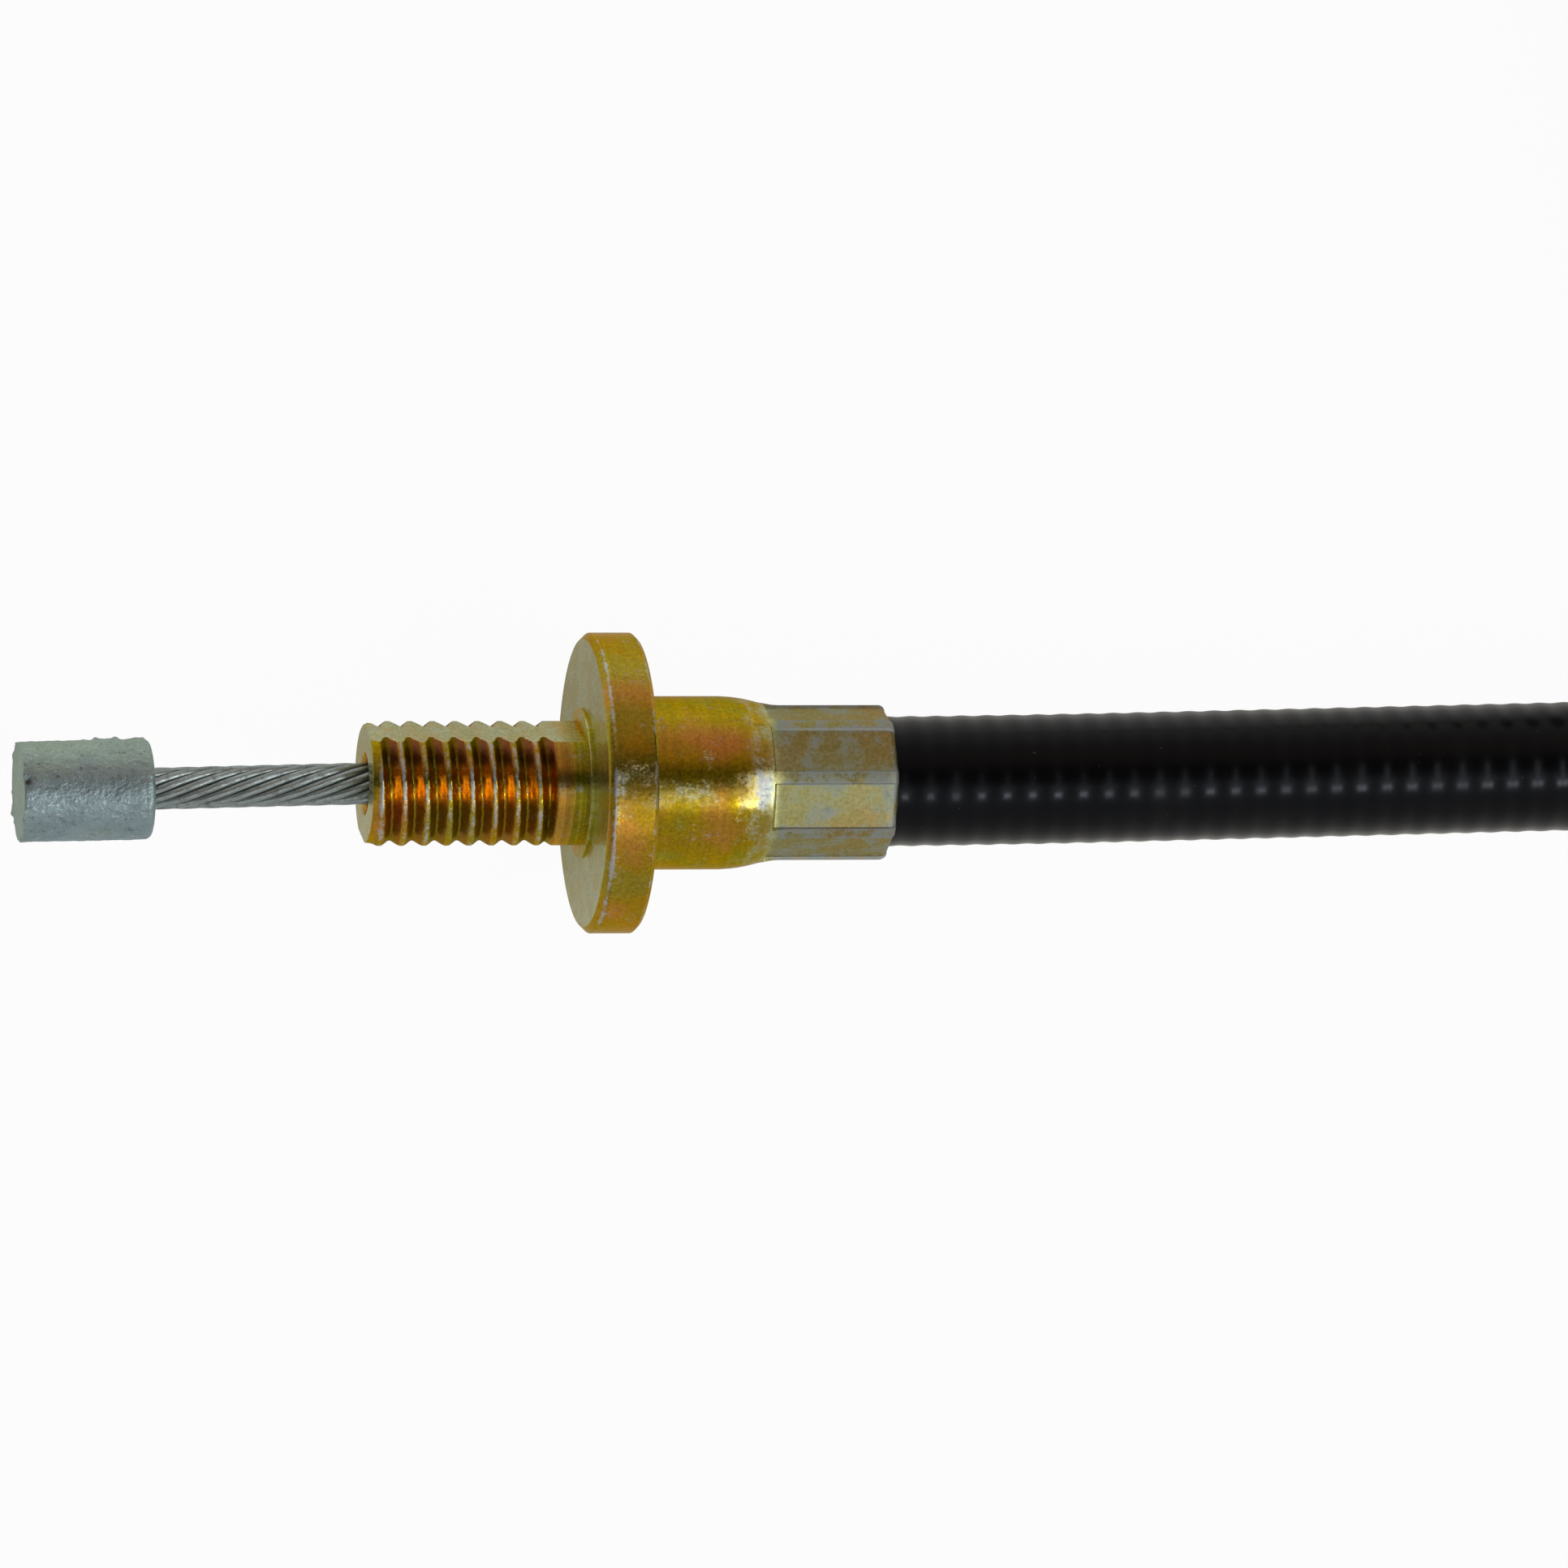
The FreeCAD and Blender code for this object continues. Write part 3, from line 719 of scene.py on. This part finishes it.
class PULLCABLE_OT_conduit(bpy.types.Operator):
    """Make the conduit's jacket, straight out of the fitting and then coiled"""

    bl_idname = "pull_cable.conduit"
    bl_label = "Conduit"

    def execute(self, context):
        sizes = scene_sizes()
        along, centres = conduit_line()
        around = np.radians(np.arange(0, 360, 12.0))
        cos, sin = np.cos(around)[:, None], np.sin(around)[:, None]
        radius = sizes.jacket / 2 + sizes.ripple_depth / 2 * np.cos(2 * np.pi * along / sizes.ripple)
        forward = np.gradient(centres, axis=0)
        forward /= np.linalg.norm(forward, axis=1, keepdims=True)
        side = np.cross((0.0, 0.0, 1.0), forward)
        side /= np.linalg.norm(side, axis=1, keepdims=True)
        top = np.cross(forward, side)
        outward = side[:, None] * cos + top[:, None] * sin
        grid = centres[:, None] + radius[:, None, None] * outward
        jacket = grid_piece(
            "jacket", grid, "casing", jacket_plastic(), caps=True, sharp=60.0
        )
        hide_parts("conduit_jacket", "conduit_coil", "tail_jacket")
        return {"FINISHED"}


class PULLCABLE_OT_end_fitting(bpy.types.Operator):
    """Make the end fitting: flatted and threaded shank, ring, flange and crimped sleeve"""

    bl_idname = "pull_cable.end_fitting"
    bl_label = "End Fitting"

    def execute(self, context):
        sizes = scene_sizes()
        columns = fitting_columns()
        crest, rim, bore = sizes.shank / 2, sizes.flange / 2, sizes.bore / 2
        thick, ring = sizes.flange_thickness, crest + 0.78

        def shank_ring(x, limit=math.inf):
            flat = sizes.flat / np.maximum(np.abs(np.cos(columns - sizes.flat_turn)), 0.3)
            return (x, np.minimum(np.minimum(crest - thread_depth(x, columns), limit), flat))

        rows = [(-SHANK + 0.6, bore), (-SHANK + 0.25, bore + 0.02), (-SHANK, bore + 0.18)]
        rows += face_rings(-SHANK, bore + 0.24, 3.66, 5)
        rows = [(x, np.minimum(reach, shank_ring(x)[1])) for x, reach in rows]
        for back, limit in ((0.0, 3.70), (0.03, 3.74), (0.25, 3.84), (0.5, 3.94)):
            rows.append(shank_ring(-SHANK + back, limit))
        threaded = np.arange(-SHANK + 0.53, -1.95, 0.072)
        rows += [shank_ring(x) for x in (*threaded, -1.5, -1.0, -0.5, -0.31)]
        rows += [(-0.30, shank_ring(-0.3)[1] + 0.02), (-0.30, 4.2), (-0.30, ring - 0.05)]
        rows += [(-0.25, ring), (-0.02, ring), (0.0, ring + 0.03)]
        rows += face_rings(0.0, 5.0, rim - 0.45, 6)
        for x, down in ((0.0, 0.42), (0.02, 0.37), (0.2, 0.2), (0.38, 0.02), (0.42, 0.0)):
            rows.append((x, rim - down))
        rows += [(x, rim) for x in np.linspace(0.6, thick - 0.4, 5)]
        for back, down in ((0.27, 0.0), (0.22, 0.04), (0.04, 0.22), (0.0, 0.27)):
            rows.append((thick - back, rim - down))
        rows += face_rings(thick, rim - 0.6, sizes.sleeve / 2 + 0.05, 5)
        rows += sleeve_stations(thick, columns) + mouth_and_bore(thick)
        rows += [(x, bore) for x in (0.0, -5.0, -10.0)]
        place, looks = (FLANGE_X, 0.0, AXIS_Z), (self.wear_and_highlight, self.pale_and_highlight, self.amber)
        turned_piece("end_fitting_plated", place, rows, ["end_fitting"], *looks)
        return {"FINISHED"}

    @staticmethod
    def wear_and_highlight(x, radius, angles, grid):
        """Rubbed places: thread crests, the flange's two edges, the crimp's lands and its mouth. More
        goes along the line that faces the camera: partly real wear and partly a painted highlight on the
        crests, rim, sleeve and shoulder, and wholly a painted highlight on the neck.
        """
        sizes = scene_sizes()
        rim, thick = sizes.flange / 2, sizes.flange_thickness
        on_rim, at_edge = radius > rim - 0.1, ease(rim - 0.3, rim - 0.05, radius)
        uneven = 0.5 + 0.5 * clouds(grid, 2.2, 3)
        # The line that faces the camera, where a painted highlight is added to the wear.
        highlight_band = at_angle(angles, 91, 0.26)
        crest = (x < -2.5) * (x > -13.6) * ease(0.10, 0.055, np.abs(thread_turn(x, angles)))
        # Crests wear more where they face the camera: partly real wear, partly a painted highlight.
        crest = crest * (0.34 + 0.34 * uneven + 0.32 * at_angle(angles, 92, 0.5))
        total = 0.72 * np.where(on_flat(radius, angles), 0.0, crest)
        total += 0.35 * bell(x, -13.5, 0.12)
        # Painted highlight: a worn streak along the neck where it faces the camera.
        total += 0.36 * at_angle(angles, 95, 0.12) * ease(-2.3, -2.1, x) * ease(-0.3, -0.4, x)
        total += 0.50 * at_angle(angles, 75, 0.6) * bell(x, -0.92, 0.05)
        total += at_edge * bell(x, 0.42, 0.16) * (0.42 + 0.35 * uneven)
        total += at_edge * bell(x, thick - 0.22, 0.08) * 0.5
        total += on_rim * bell(x, 0.78, 0.045) * (0.2 + 0.4 * uneven)
        # Partly real scratches, partly a painted highlight: more wear where the rim faces the camera.
        total += on_rim * at_angle(angles, 91, 0.11) * 0.26
        # Partly real wear, partly a painted highlight: more wear where the sleeve and its shoulder face
        # the camera.
        total += 0.20 * highlight_band * ease(3.0, 3.6, x) * ease(11.4, 10.4, x)
        total += bell(x, thick + 7.5, 0.9) * (0.16 + 0.42 * highlight_band)
        total += ease(thick + 8.4, thick + 9.0, x) * (0.305 + land_wear(angles))
        total += 0.50 * bell(x, thick + 16.2, 0.2) * ease(4.4, 4.7, radius)
        return np.clip(total, 0, 1)

    @staticmethod
    def pale_and_highlight(x, radius, angles):
        """Thinly coloured places: the shank's flats and end, the flange's faces and the crimp. It also
        holds a painted highlight along the line that faces the camera, and painted light on the ring.
        """
        sizes = scene_sizes()
        thick = sizes.flange_thickness
        flat = on_flat(radius, angles) * (x < -0.35) * (0.7 + 0.3 * ease(-1.6, -2.6, x))
        faces = (np.abs(x) < 0.01) * (radius > sizes.shank / 2) + (x < -SHANK + 0.01)
        # Painted highlight: a paler streak where the fitting faces the camera, from the neck to the
        # mouth.
        highlight_streak = at_angle(angles, 94, 0.3) * (x > -2.4) * (radius > 3.0)
        # Painted light: the ring is paler all round, in place of light that the flange's shadow keeps
        # off it.
        ring = (x > -0.35) * (x < -0.2) * (radius > 4.05)
        total = 1.3 * flat + 1.3 * faces + 0.5 * highlight_streak + 0.7 * ring
        total += 0.45 * bell(x, thick + 7.6, 1.3) + 0.92 * ease(thick + 7.4, thick + 8.8, x)
        return np.clip(total, 0, 1.2)

    @staticmethod
    def amber(x, radius, angles):
        """Reddish places: the thread's sides toward the tip, the bore's edge and the neck."""
        turn = thread_turn(x, angles)
        sides = ease(-0.08, -0.14, turn) * ease(-0.5, -0.42, turn) * ease(-2.2, -2.5, x)
        sides = sides * (1.0 - 0.5 * ease(-0.17, -0.47, np.cos(angles))) * ease(-13.7, -13.4, x)
        bore = (radius < 2.05) * (x < -SHANK + 1.0)
        neck = ease(-0.9, -1.4, x) * ease(-2.6, -2.2, x) * (radius < 4.05)
        rim = 0.12 + 0.42 * at_angle(angles, 53, 0.11)
        sleeve = 0.3 * at_angle(angles, 63, 0.14) * ease(10.8, 10.2, x)
        behind = np.where(x < 3.21, rim, sleeve) * (x > 0) * (radius > 4.0)
        total = 0.95 * sides + 0.5 * bore + 0.45 * neck + behind + 0.18 * ease(11.4, 12.2, x)
        return np.clip(total, 0, 1)


class PULLCABLE_OT_far_ferrule(bpy.types.Operator):
    """Make the plain crimped ferrule at the far end"""

    bl_idname = "pull_cable.far_ferrule"
    bl_label = "Far Ferrule"

    def execute(self, context):
        sizes = scene_sizes()
        bore, nose, sleeve = sizes.bore / 2, 3.5, sizes.sleeve / 2
        rows = face_rings(-NOSE, bore, nose - 0.55, 4) + bevel_rings(-NOSE, nose)
        rows += [(x, nose) for x in (-NOSE + 0.52, -4.0, -2.5, -1.0, -0.05, 0.0)]
        rows += face_rings(0.0, nose + 0.1, sleeve - 0.55, 4) + bevel_rings(0.0, sleeve)
        rows += sleeve_stations(0.0, fitting_columns())[2:] + mouth_and_bore(0.0)
        rows += [(x, bore) for x in (-1.0, -3.5)]
        place = (FAR_SEAT[0] - SEAT_WALL, FAR_SEAT[1], FAR_SEAT[2])
        looks = (self.wear_and_highlight, self.pale_and_highlight, lambda x, radius, angles: np.full_like(x, 0.15))
        turned_piece("far_ferrule_plated", place, rows, ["far_ferrule"], *looks)
        return {"FINISHED"}

    @staticmethod
    def wear_and_highlight(x, radius, angles, grid):
        """Rubbed places: the nose's tip, the shoulder edge, the crimp's lands and its mouth."""
        edges = bell(x, -NOSE + 0.5, 0.15) + bell(x, 0.5, 0.15) * ease(5.0, 5.3, radius)
        total = 0.45 * edges + ease(8.4, 9.0, x) * land_wear(angles) + 0.5 * bell(x, 16.2, 0.2)
        return np.clip(total, 0, 1)

    @staticmethod
    def pale_and_highlight(x, radius, angles):
        """Thinly coloured places: the nose's end, the sleeve's face and the crimp."""
        faces = (np.abs(x) < 0.01) + (x < -NOSE + 0.01)
        return np.clip(1.3 * faces + 0.85 * ease(7.4, 8.8, x) + 0.05, 0, 1.2)


class PULLCABLE_OT_inner_cable(bpy.types.Operator):
    """Make the outer wires of the inner cable, laid left-handed, at both ends"""

    bl_idname = "pull_cable.inner_cable"
    bl_label = "Inner Cable"

    def execute(self, context):
        near_end = near_cable_line()
        for number in range(12):
            wire = laid_wire(f"wire_{number + 1:02d}", "near_cable", near_end, number / 12)
            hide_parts(f"outer_wire_{number + 1:02d}")
        start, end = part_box("far_inner_cable")
        reach = np.arange(0.0, (end.x - start.x) / MM, 0.5)
        line = np.stack([end.x / MM - reach, 0 * reach + FAR_SEAT[1], 0 * reach + FAR_SEAT[2]], axis=-1)
        far_end = (line, np.broadcast_to((-1.0, 0.0, 0.0), line.shape), reach)
        wires = [
            laid_wire(f"far_{number}", "far_cable", far_end, number / 12, 8) for number in range(12)
        ]
        far = wires[0]
        with context.temp_override(
            active_object=far, object=far, selected_objects=wires, selected_editable_objects=wires
        ):
            bpy.ops.object.join()
        far.name = far.data.name = "far_strand"
        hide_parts("far_inner_cable")
        for node in ["core_wire"] + [f"inner_wire_{number + 1}" for number in range(6)]:
            dress(node, cable_steel())
        return {"FINISHED"}


def near_cable_line():
    """The near inner cable's middle, directions and distance along it, from its hidden end on.

    Straight in the bore, a short arc at the shank's tip, then straight at the droop angle.
    """
    tilt, bend, in_nipple = math.radians(1.25), 3.0, 6.85
    along = np.arange(0.0, HIDDEN + EXPOSED + in_nipple, 0.3)
    straight = HIDDEN - bend / 2
    radius = bend / tilt
    angle = np.clip((along - straight) / bend, 0, 1) * tilt
    past = np.maximum(along - straight - bend, 0)
    x = TIP_X + HIDDEN - np.minimum(along, straight) - radius * np.sin(angle) - past * math.cos(tilt)
    y = -radius * (1 - np.cos(angle)) - past * math.sin(tilt)
    line = np.stack([x, y, np.full_like(x, AXIS_Z)], axis=-1)
    return line, np.stack([-np.cos(angle), -np.sin(angle), 0 * x], axis=-1), along


def laid_wire(name, body, cable, share, sides=14):
    """One outer wire: a round tube on a left-handed helix round the cable's middle line.

    cable is that line, its directions and the distance along it. The tube's middle is two wire
    diameters from the line, at the angle share - along / lay of a turn.
    """
    sizes = scene_sizes()
    line, forward, along = cable
    reach = 2 * sizes.wire
    up = np.broadcast_to((0.0, 0.0, 1.0), line.shape)
    side = np.cross(forward, up)
    angle = 2 * np.pi * (share - along / sizes.lay)[:, None]
    outward = up * np.cos(angle) + side * np.sin(angle)
    around = side * np.cos(angle) - up * np.sin(angle)
    heading = forward - around * (2 * np.pi * reach / sizes.lay)
    heading /= np.linalg.norm(heading, axis=-1, keepdims=True)
    across = np.cross(heading, outward)
    turn = np.arange(sides) * 2 * np.pi / sides
    cos, sin = np.cos(turn)[:, None], np.sin(turn)[:, None]
    middle = line + outward * reach
    grid = middle[:, None] + sizes.wire / 2 * (outward[:, None] * cos + across[:, None] * sin)
    layers = {
        "along": along[:, None] * MM + share,
        "across": turn * sizes.wire / 2 * MM,
        # Painted shade: darkest on the side that faces the cable's middle and beside the next wires.
        "crevice_shade": ease(0.45, -0.2, np.cos(turn)),
    }
    layers = {key: np.broadcast_to(layer, grid.shape[:2]) for key, layer in layers.items()}
    return grid_piece(name, grid, body, cable_steel(), layers, caps=True, sharp=60.0)


def dress(node, material):
    """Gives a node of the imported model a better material."""
    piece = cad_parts[node]
    piece.data.materials.clear()
    piece.data.materials.append(material)


class PULLCABLE_OT_nipples(bpy.types.Operator):
    """Make the two die-cast barrel nipples"""

    bl_idname = "pull_cable.nipples"
    bl_label = "Nipples"

    def execute(self, context):
        line, forward, along = near_cable_line()
        face = np.array([np.interp(HIDDEN + EXPOSED, along, line[:, axis]) for axis in range(3)])
        near = self.barrel("nipple_cast", face, forward[-1], "near_cable", 11)
        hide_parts("cable_nipple")
        seat = (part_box("far_nipple")[1].x / MM, FAR_SEAT[1], FAR_SEAT[2])
        far = self.barrel("far_nipple_cast", np.array(seat), np.array([-1.0, 0.0, 0.0]), "far_cable", 23)
        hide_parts("far_nipple")
        return {"FINISHED"}

    @staticmethod
    def profile(radius, length):
        """(distance, radius) from inside the wires' hole over the barrel to its free face."""
        hole = 2.5 * scene_sizes().wire + 0.05
        profile = [(1.2, hole), (0.4, hole), (0.02, hole + 0.02)]
        profile += face_rings(0.0, hole + 0.15, radius - 0.45, 6)
        for turn in np.linspace(0.1, 1.0, 7) * math.pi / 2:
            profile.append((0.4 - 0.4 * math.cos(turn), radius - 0.4 + 0.4 * math.sin(turn)))
        profile += [(place, radius) for place in np.arange(0.55, length - 0.12, 0.12)]
        profile += [(length - 0.08, radius - 0.01), (length - 0.02, radius - 0.06)]
        return np.array(profile + face_rings(length, radius - 0.12, 0.1, 24))

    def barrel(self, name, face, forward, body, seed):
        """A barrel from its cable side to its free face, with a cast skin.

        Noise of three sizes moves its rings in and out, a ragged lip stands on the free rim,
        crumbs stand along the parting line, and a pit lies beside the rim.
        """
        sizes = scene_sizes()
        radius, length = sizes.nipple / 2, sizes.nipple_length
        profile = self.profile(radius, length)
        around = np.radians(np.arange(358.0, -1.0, -2.0))
        parting, pit_angle = 0.12, 1.36
        along, reach = (profile[:, k : k + 1] + 0 * around for k in (0, 1))
        spot = np.stack([along, reach * np.cos(around), reach * np.sin(around)], axis=-1)
        cast = lambda size, number: clouds(spot, size, seed + number)
        skin = 0.025 * cast(0.9, 0) + 0.02 * cast(0.32, 1) + 0.018 * cast(0.16, 2) - 0.02
        lip = ease(length - 0.25, length - 0.03, along) * ease(radius - 0.4, radius - 0.02, reach)
        lip = 0.22 * lip * np.maximum(cast(0.45, 3), 0)
        crumbs = bell(around, parting, 0.25) * ease(4.9, 3.9, along) * ease(0.2, 0.5, along)
        crumbs = 0.34 * crumbs * np.maximum(cast(0.42, 4), 0)
        on_side = ease(radius - 0.9, radius - 0.3, reach) * ease(0.0, 0.3, along)
        pit = bell(around, pit_angle, 0.10) * bell(along, length - 0.25, 0.22)
        pit = pit * ease(radius - 0.3, radius, reach)
        moved = reach + on_side * (skin + crumbs) + 0.5 * lip - 0.25 * pit
        dent = ease(length - 0.1, length, along) * (1 - lip) * ease(radius, radius - 0.6, reach)
        grid = face + (along + lip - dent * (0.05 + 0.05 * cast(0.8, 5)))[..., None] * forward
        grid = grid + (moved * np.cos(around))[..., None] * np.cross(forward, (0.0, 0.0, 1.0))
        grid = grid + (moved * np.sin(around))[..., None] * np.array([0.0, 0.0, 1.0])
        green = ease(0.2, 0.95, np.cos(around)) + ease(length - 0.05, length, along)
        layers = {"green": np.clip(green + 0.3 * cast(1.4, 6), 0, 1), "pit": pit}
        return grid_piece(name, grid, body, cast_zinc(), layers, caps=True, sharp=50.0)


class PULLCABLE_OT_conduit_layers(bpy.types.Operator):
    bl_idname = "pull_cable.conduit_layers"
    bl_label = "Conduit Layers"

    def execute(self, context):
        hidden = []
        for side in ("conduit", "tail"):
            dress(f"{side}_armour", spiral_steel())
            dress(f"{side}_liner", liner_plastic())
            hidden += [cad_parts[f"{side}_armour"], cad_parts[f"{side}_liner"]]
        line = conduit_line()[1] * MM
        return {"FINISHED"}


# The room's colours by degrees from overhead, above 0 towards the picture's top
ROOM = (
    (-100, (0.36, 0.36, 0.36)),
    (-60, (0.38, 0.37, 0.36)),
    (-35, (0.46, 0.45, 0.43)),
    (-24, (0.38, 0.37, 0.35)),
    (-16, (0.40, 0.39, 0.37)),
    (-9, (0.22, 0.21, 0.20)),
    (2, (0.06, 0.06, 0.06)),
    (14, (0.06, 0.06, 0.055)),
    (34, (0.30, 0.22, 0.18)),
    (58, (0.34, 0.28, 0.24)),
    (80, (0.46, 0.45, 0.43)),
    (100, (0.55, 0.55, 0.54)),
)
# Each lamp's name, direction, size in metres, watts and roll in degrees
LAMPS = (
    ("key", (0.43, -0.37, 0.83), (0.44, 0.20), 0.08, -30.0),
    ("side", (0.61, -0.07, 0.79), (0.20, 0.40), 0.68, 0.0),
    ("window", (0.47, -0.47, 0.83), (0.12, 0.09), 0.34, 0.0),
)


class PULLCABLE_OT_stage(bpy.types.Operator):
    """Make the white floor, the surroundings and the lamps"""

    bl_idname = "pull_cable.stage"
    bl_label = "Stage"

    def execute(self, context):
        self.floor()
        context.scene.world = self.surroundings()
        for lamp in LAMPS:
            self.lamp(*lamp)
        context.scene.view_settings.view_transform = "Standard"
        return {"FINISHED"}

    def floor(self):
        """A wide white floor with a soft shadow, which glows in reflections, most at the top."""
        mesh = bpy.data.meshes.new("floor")
        reach = 3.0
        corners = [(x * reach, y * reach, 0.0) for x, y in ((-1, -1), (1, -1), (1, 1), (-1, 1))]
        mesh.from_pydata(corners, [], [(0, 1, 2, 3)])
        floor = placed("floor", mesh)
        material = bpy.data.materials.new("floor_white")
        material.use_nodes = True
        tree = material.node_tree
        tree.nodes.remove(tree.nodes["Principled BSDF"])
        nodes = Nodes(tree)
        matt = nodes("BsdfDiffuse", {"Color": (0.9, 0.9, 0.9, 1.0)})
        glow = nodes("Emission", {"Color": (1.0, 1.0, 1.0, 1.0), "Strength": 1.0})
        seen, mirrored = (nodes("LightPath", out=out) for out in (0, 3))
        across = nodes("SeparateXYZ", {0: nodes("NewGeometry")}, 1)
        mirrored = nodes.times(mirrored, nodes.between(across, -0.08, 0.08, 0.04, 0.36))
        share = nodes.add(nodes.times(seen, 0.96), mirrored)
        surface = nodes("MixShader", {0: share, 1: matt, 2: glow})
        tree.links.new(surface, tree.nodes["Material Output"].inputs["Surface"])
        mesh.materials.append(material)

    def surroundings(self):
        """A studio round the object, with the colours of ROOM by degrees from overhead.

        It is dimmer at both ends, and brighter in a patch to the right and towards the bottom.
        """
        world = bpy.data.worlds.new("surroundings")
        world.use_nodes = True
        nodes = Nodes(world.node_tree)
        parts = nodes("SeparateXYZ", {0: nodes("TexCoord", out=0)}).node.outputs
        across = parts[0]
        angle = nodes.math("ARCTAN2", parts[1], parts[2])
        place = nodes("MapRange", {0: angle, 1: -math.pi, 2: math.pi})
        room = nodes("ValToRGB", {0: place})
        stops = room.node.color_ramp.elements
        while len(stops) < len(ROOM):
            stops.new(0.5)
        for stop, (degrees, colour) in zip(stops, ROOM):
            stop.position = 0.5 + degrees / 360
            stop.color = (*colour, 1.0)
        left = nodes.between(across, -0.95, -0.5, 0.55, 1.0)
        right = nodes.between(across, 0.5, 0.95, 1.0, 0.35)
        patch = nodes.times(
            nodes.between(across, 0.02, 0.14), nodes.between(across, 0.26, 0.38, 1.0, 0.0)
        )
        top = nodes.between(angle, math.radians(-8), math.radians(-14), 0.0, 0.55)
        foot = nodes.between(angle, math.radians(-46), math.radians(-34))
        patch = nodes.times(nodes.times(patch, top), foot)
        share = nodes.times(nodes.times(left, right), nodes.add(patch, 1.0))
        seen = nodes("LightPath", out=0)
        colour = nodes.mix(seen, nodes.scaled(room, share), (1.0, 1.0, 1.0))
        world.node_tree.links.new(colour, world.node_tree.nodes["Background"].inputs["Color"])
        return world

    def lamp(self, name, toward, size, power, roll):
        """A rectangular lamp that faces the fitting, rolled about its own middle."""
        distance, faced = 0.8, np.array([0.012, 0.0, AXIS_Z * MM])
        data = bpy.data.lights.new(name, "AREA")
        data.shape = "RECTANGLE"
        data.size, data.size_y = size
        data.energy = power
        toward = np.array(toward) / np.linalg.norm(toward)
        side = np.cross((0.0, 1.0, 0.0), toward)
        side /= np.linalg.norm(side)
        roll = math.radians(roll)
        side = side * math.cos(roll) + np.cross(toward, side) * math.sin(roll)
        stand(placed(name, data), side, np.cross(toward, side), toward, faced + toward * distance)


class PULLCABLE_PT_panel(bpy.types.Panel):
    """Lists the pieces and their sizes in the sidebar"""

    bl_label = "Pull Cable"
    bl_idname = "PULLCABLE_PT_panel"
    bl_space_type = "VIEW_3D"
    bl_region_type = "UI"
    bl_category = "Pull Cable"

    def draw(self, context):
        layout = self.layout
        for operator in OPERATORS:
            layout.operator(operator.bl_idname)
        for group in (context.scene.pull_cable_sizes, context.scene.pull_cable_looks):
            box = layout.box()
            for name in type(group).__annotations__:
                box.prop(group, name)


OPERATORS = (
    PULLCABLE_OT_camera,
    PULLCABLE_OT_conduit,
    PULLCABLE_OT_end_fitting,
    PULLCABLE_OT_far_ferrule,
    PULLCABLE_OT_inner_cable,
    PULLCABLE_OT_nipples,
    PULLCABLE_OT_conduit_layers,
    PULLCABLE_OT_stage,
)


CLASSES = (PullCableSizes, PullCableLooks, *OPERATORS, PULLCABLE_PT_panel)


def register():
    for item in CLASSES:
        bpy.utils.register_class(item)
    bpy.types.Scene.pull_cable_sizes = PointerProperty(type=PullCableSizes)
    bpy.types.Scene.pull_cable_looks = PointerProperty(type=PullCableLooks)


def unregister():
    del bpy.types.Scene.pull_cable_sizes
    del bpy.types.Scene.pull_cable_looks
    for item in reversed(CLASSES):
        bpy.utils.unregister_class(item)


def main():
    register()
    for operator in OPERATORS:
        group, name = operator.bl_idname.split(".")
        getattr(getattr(bpy.ops, group), name)()


if __name__ == "__main__":
    main()
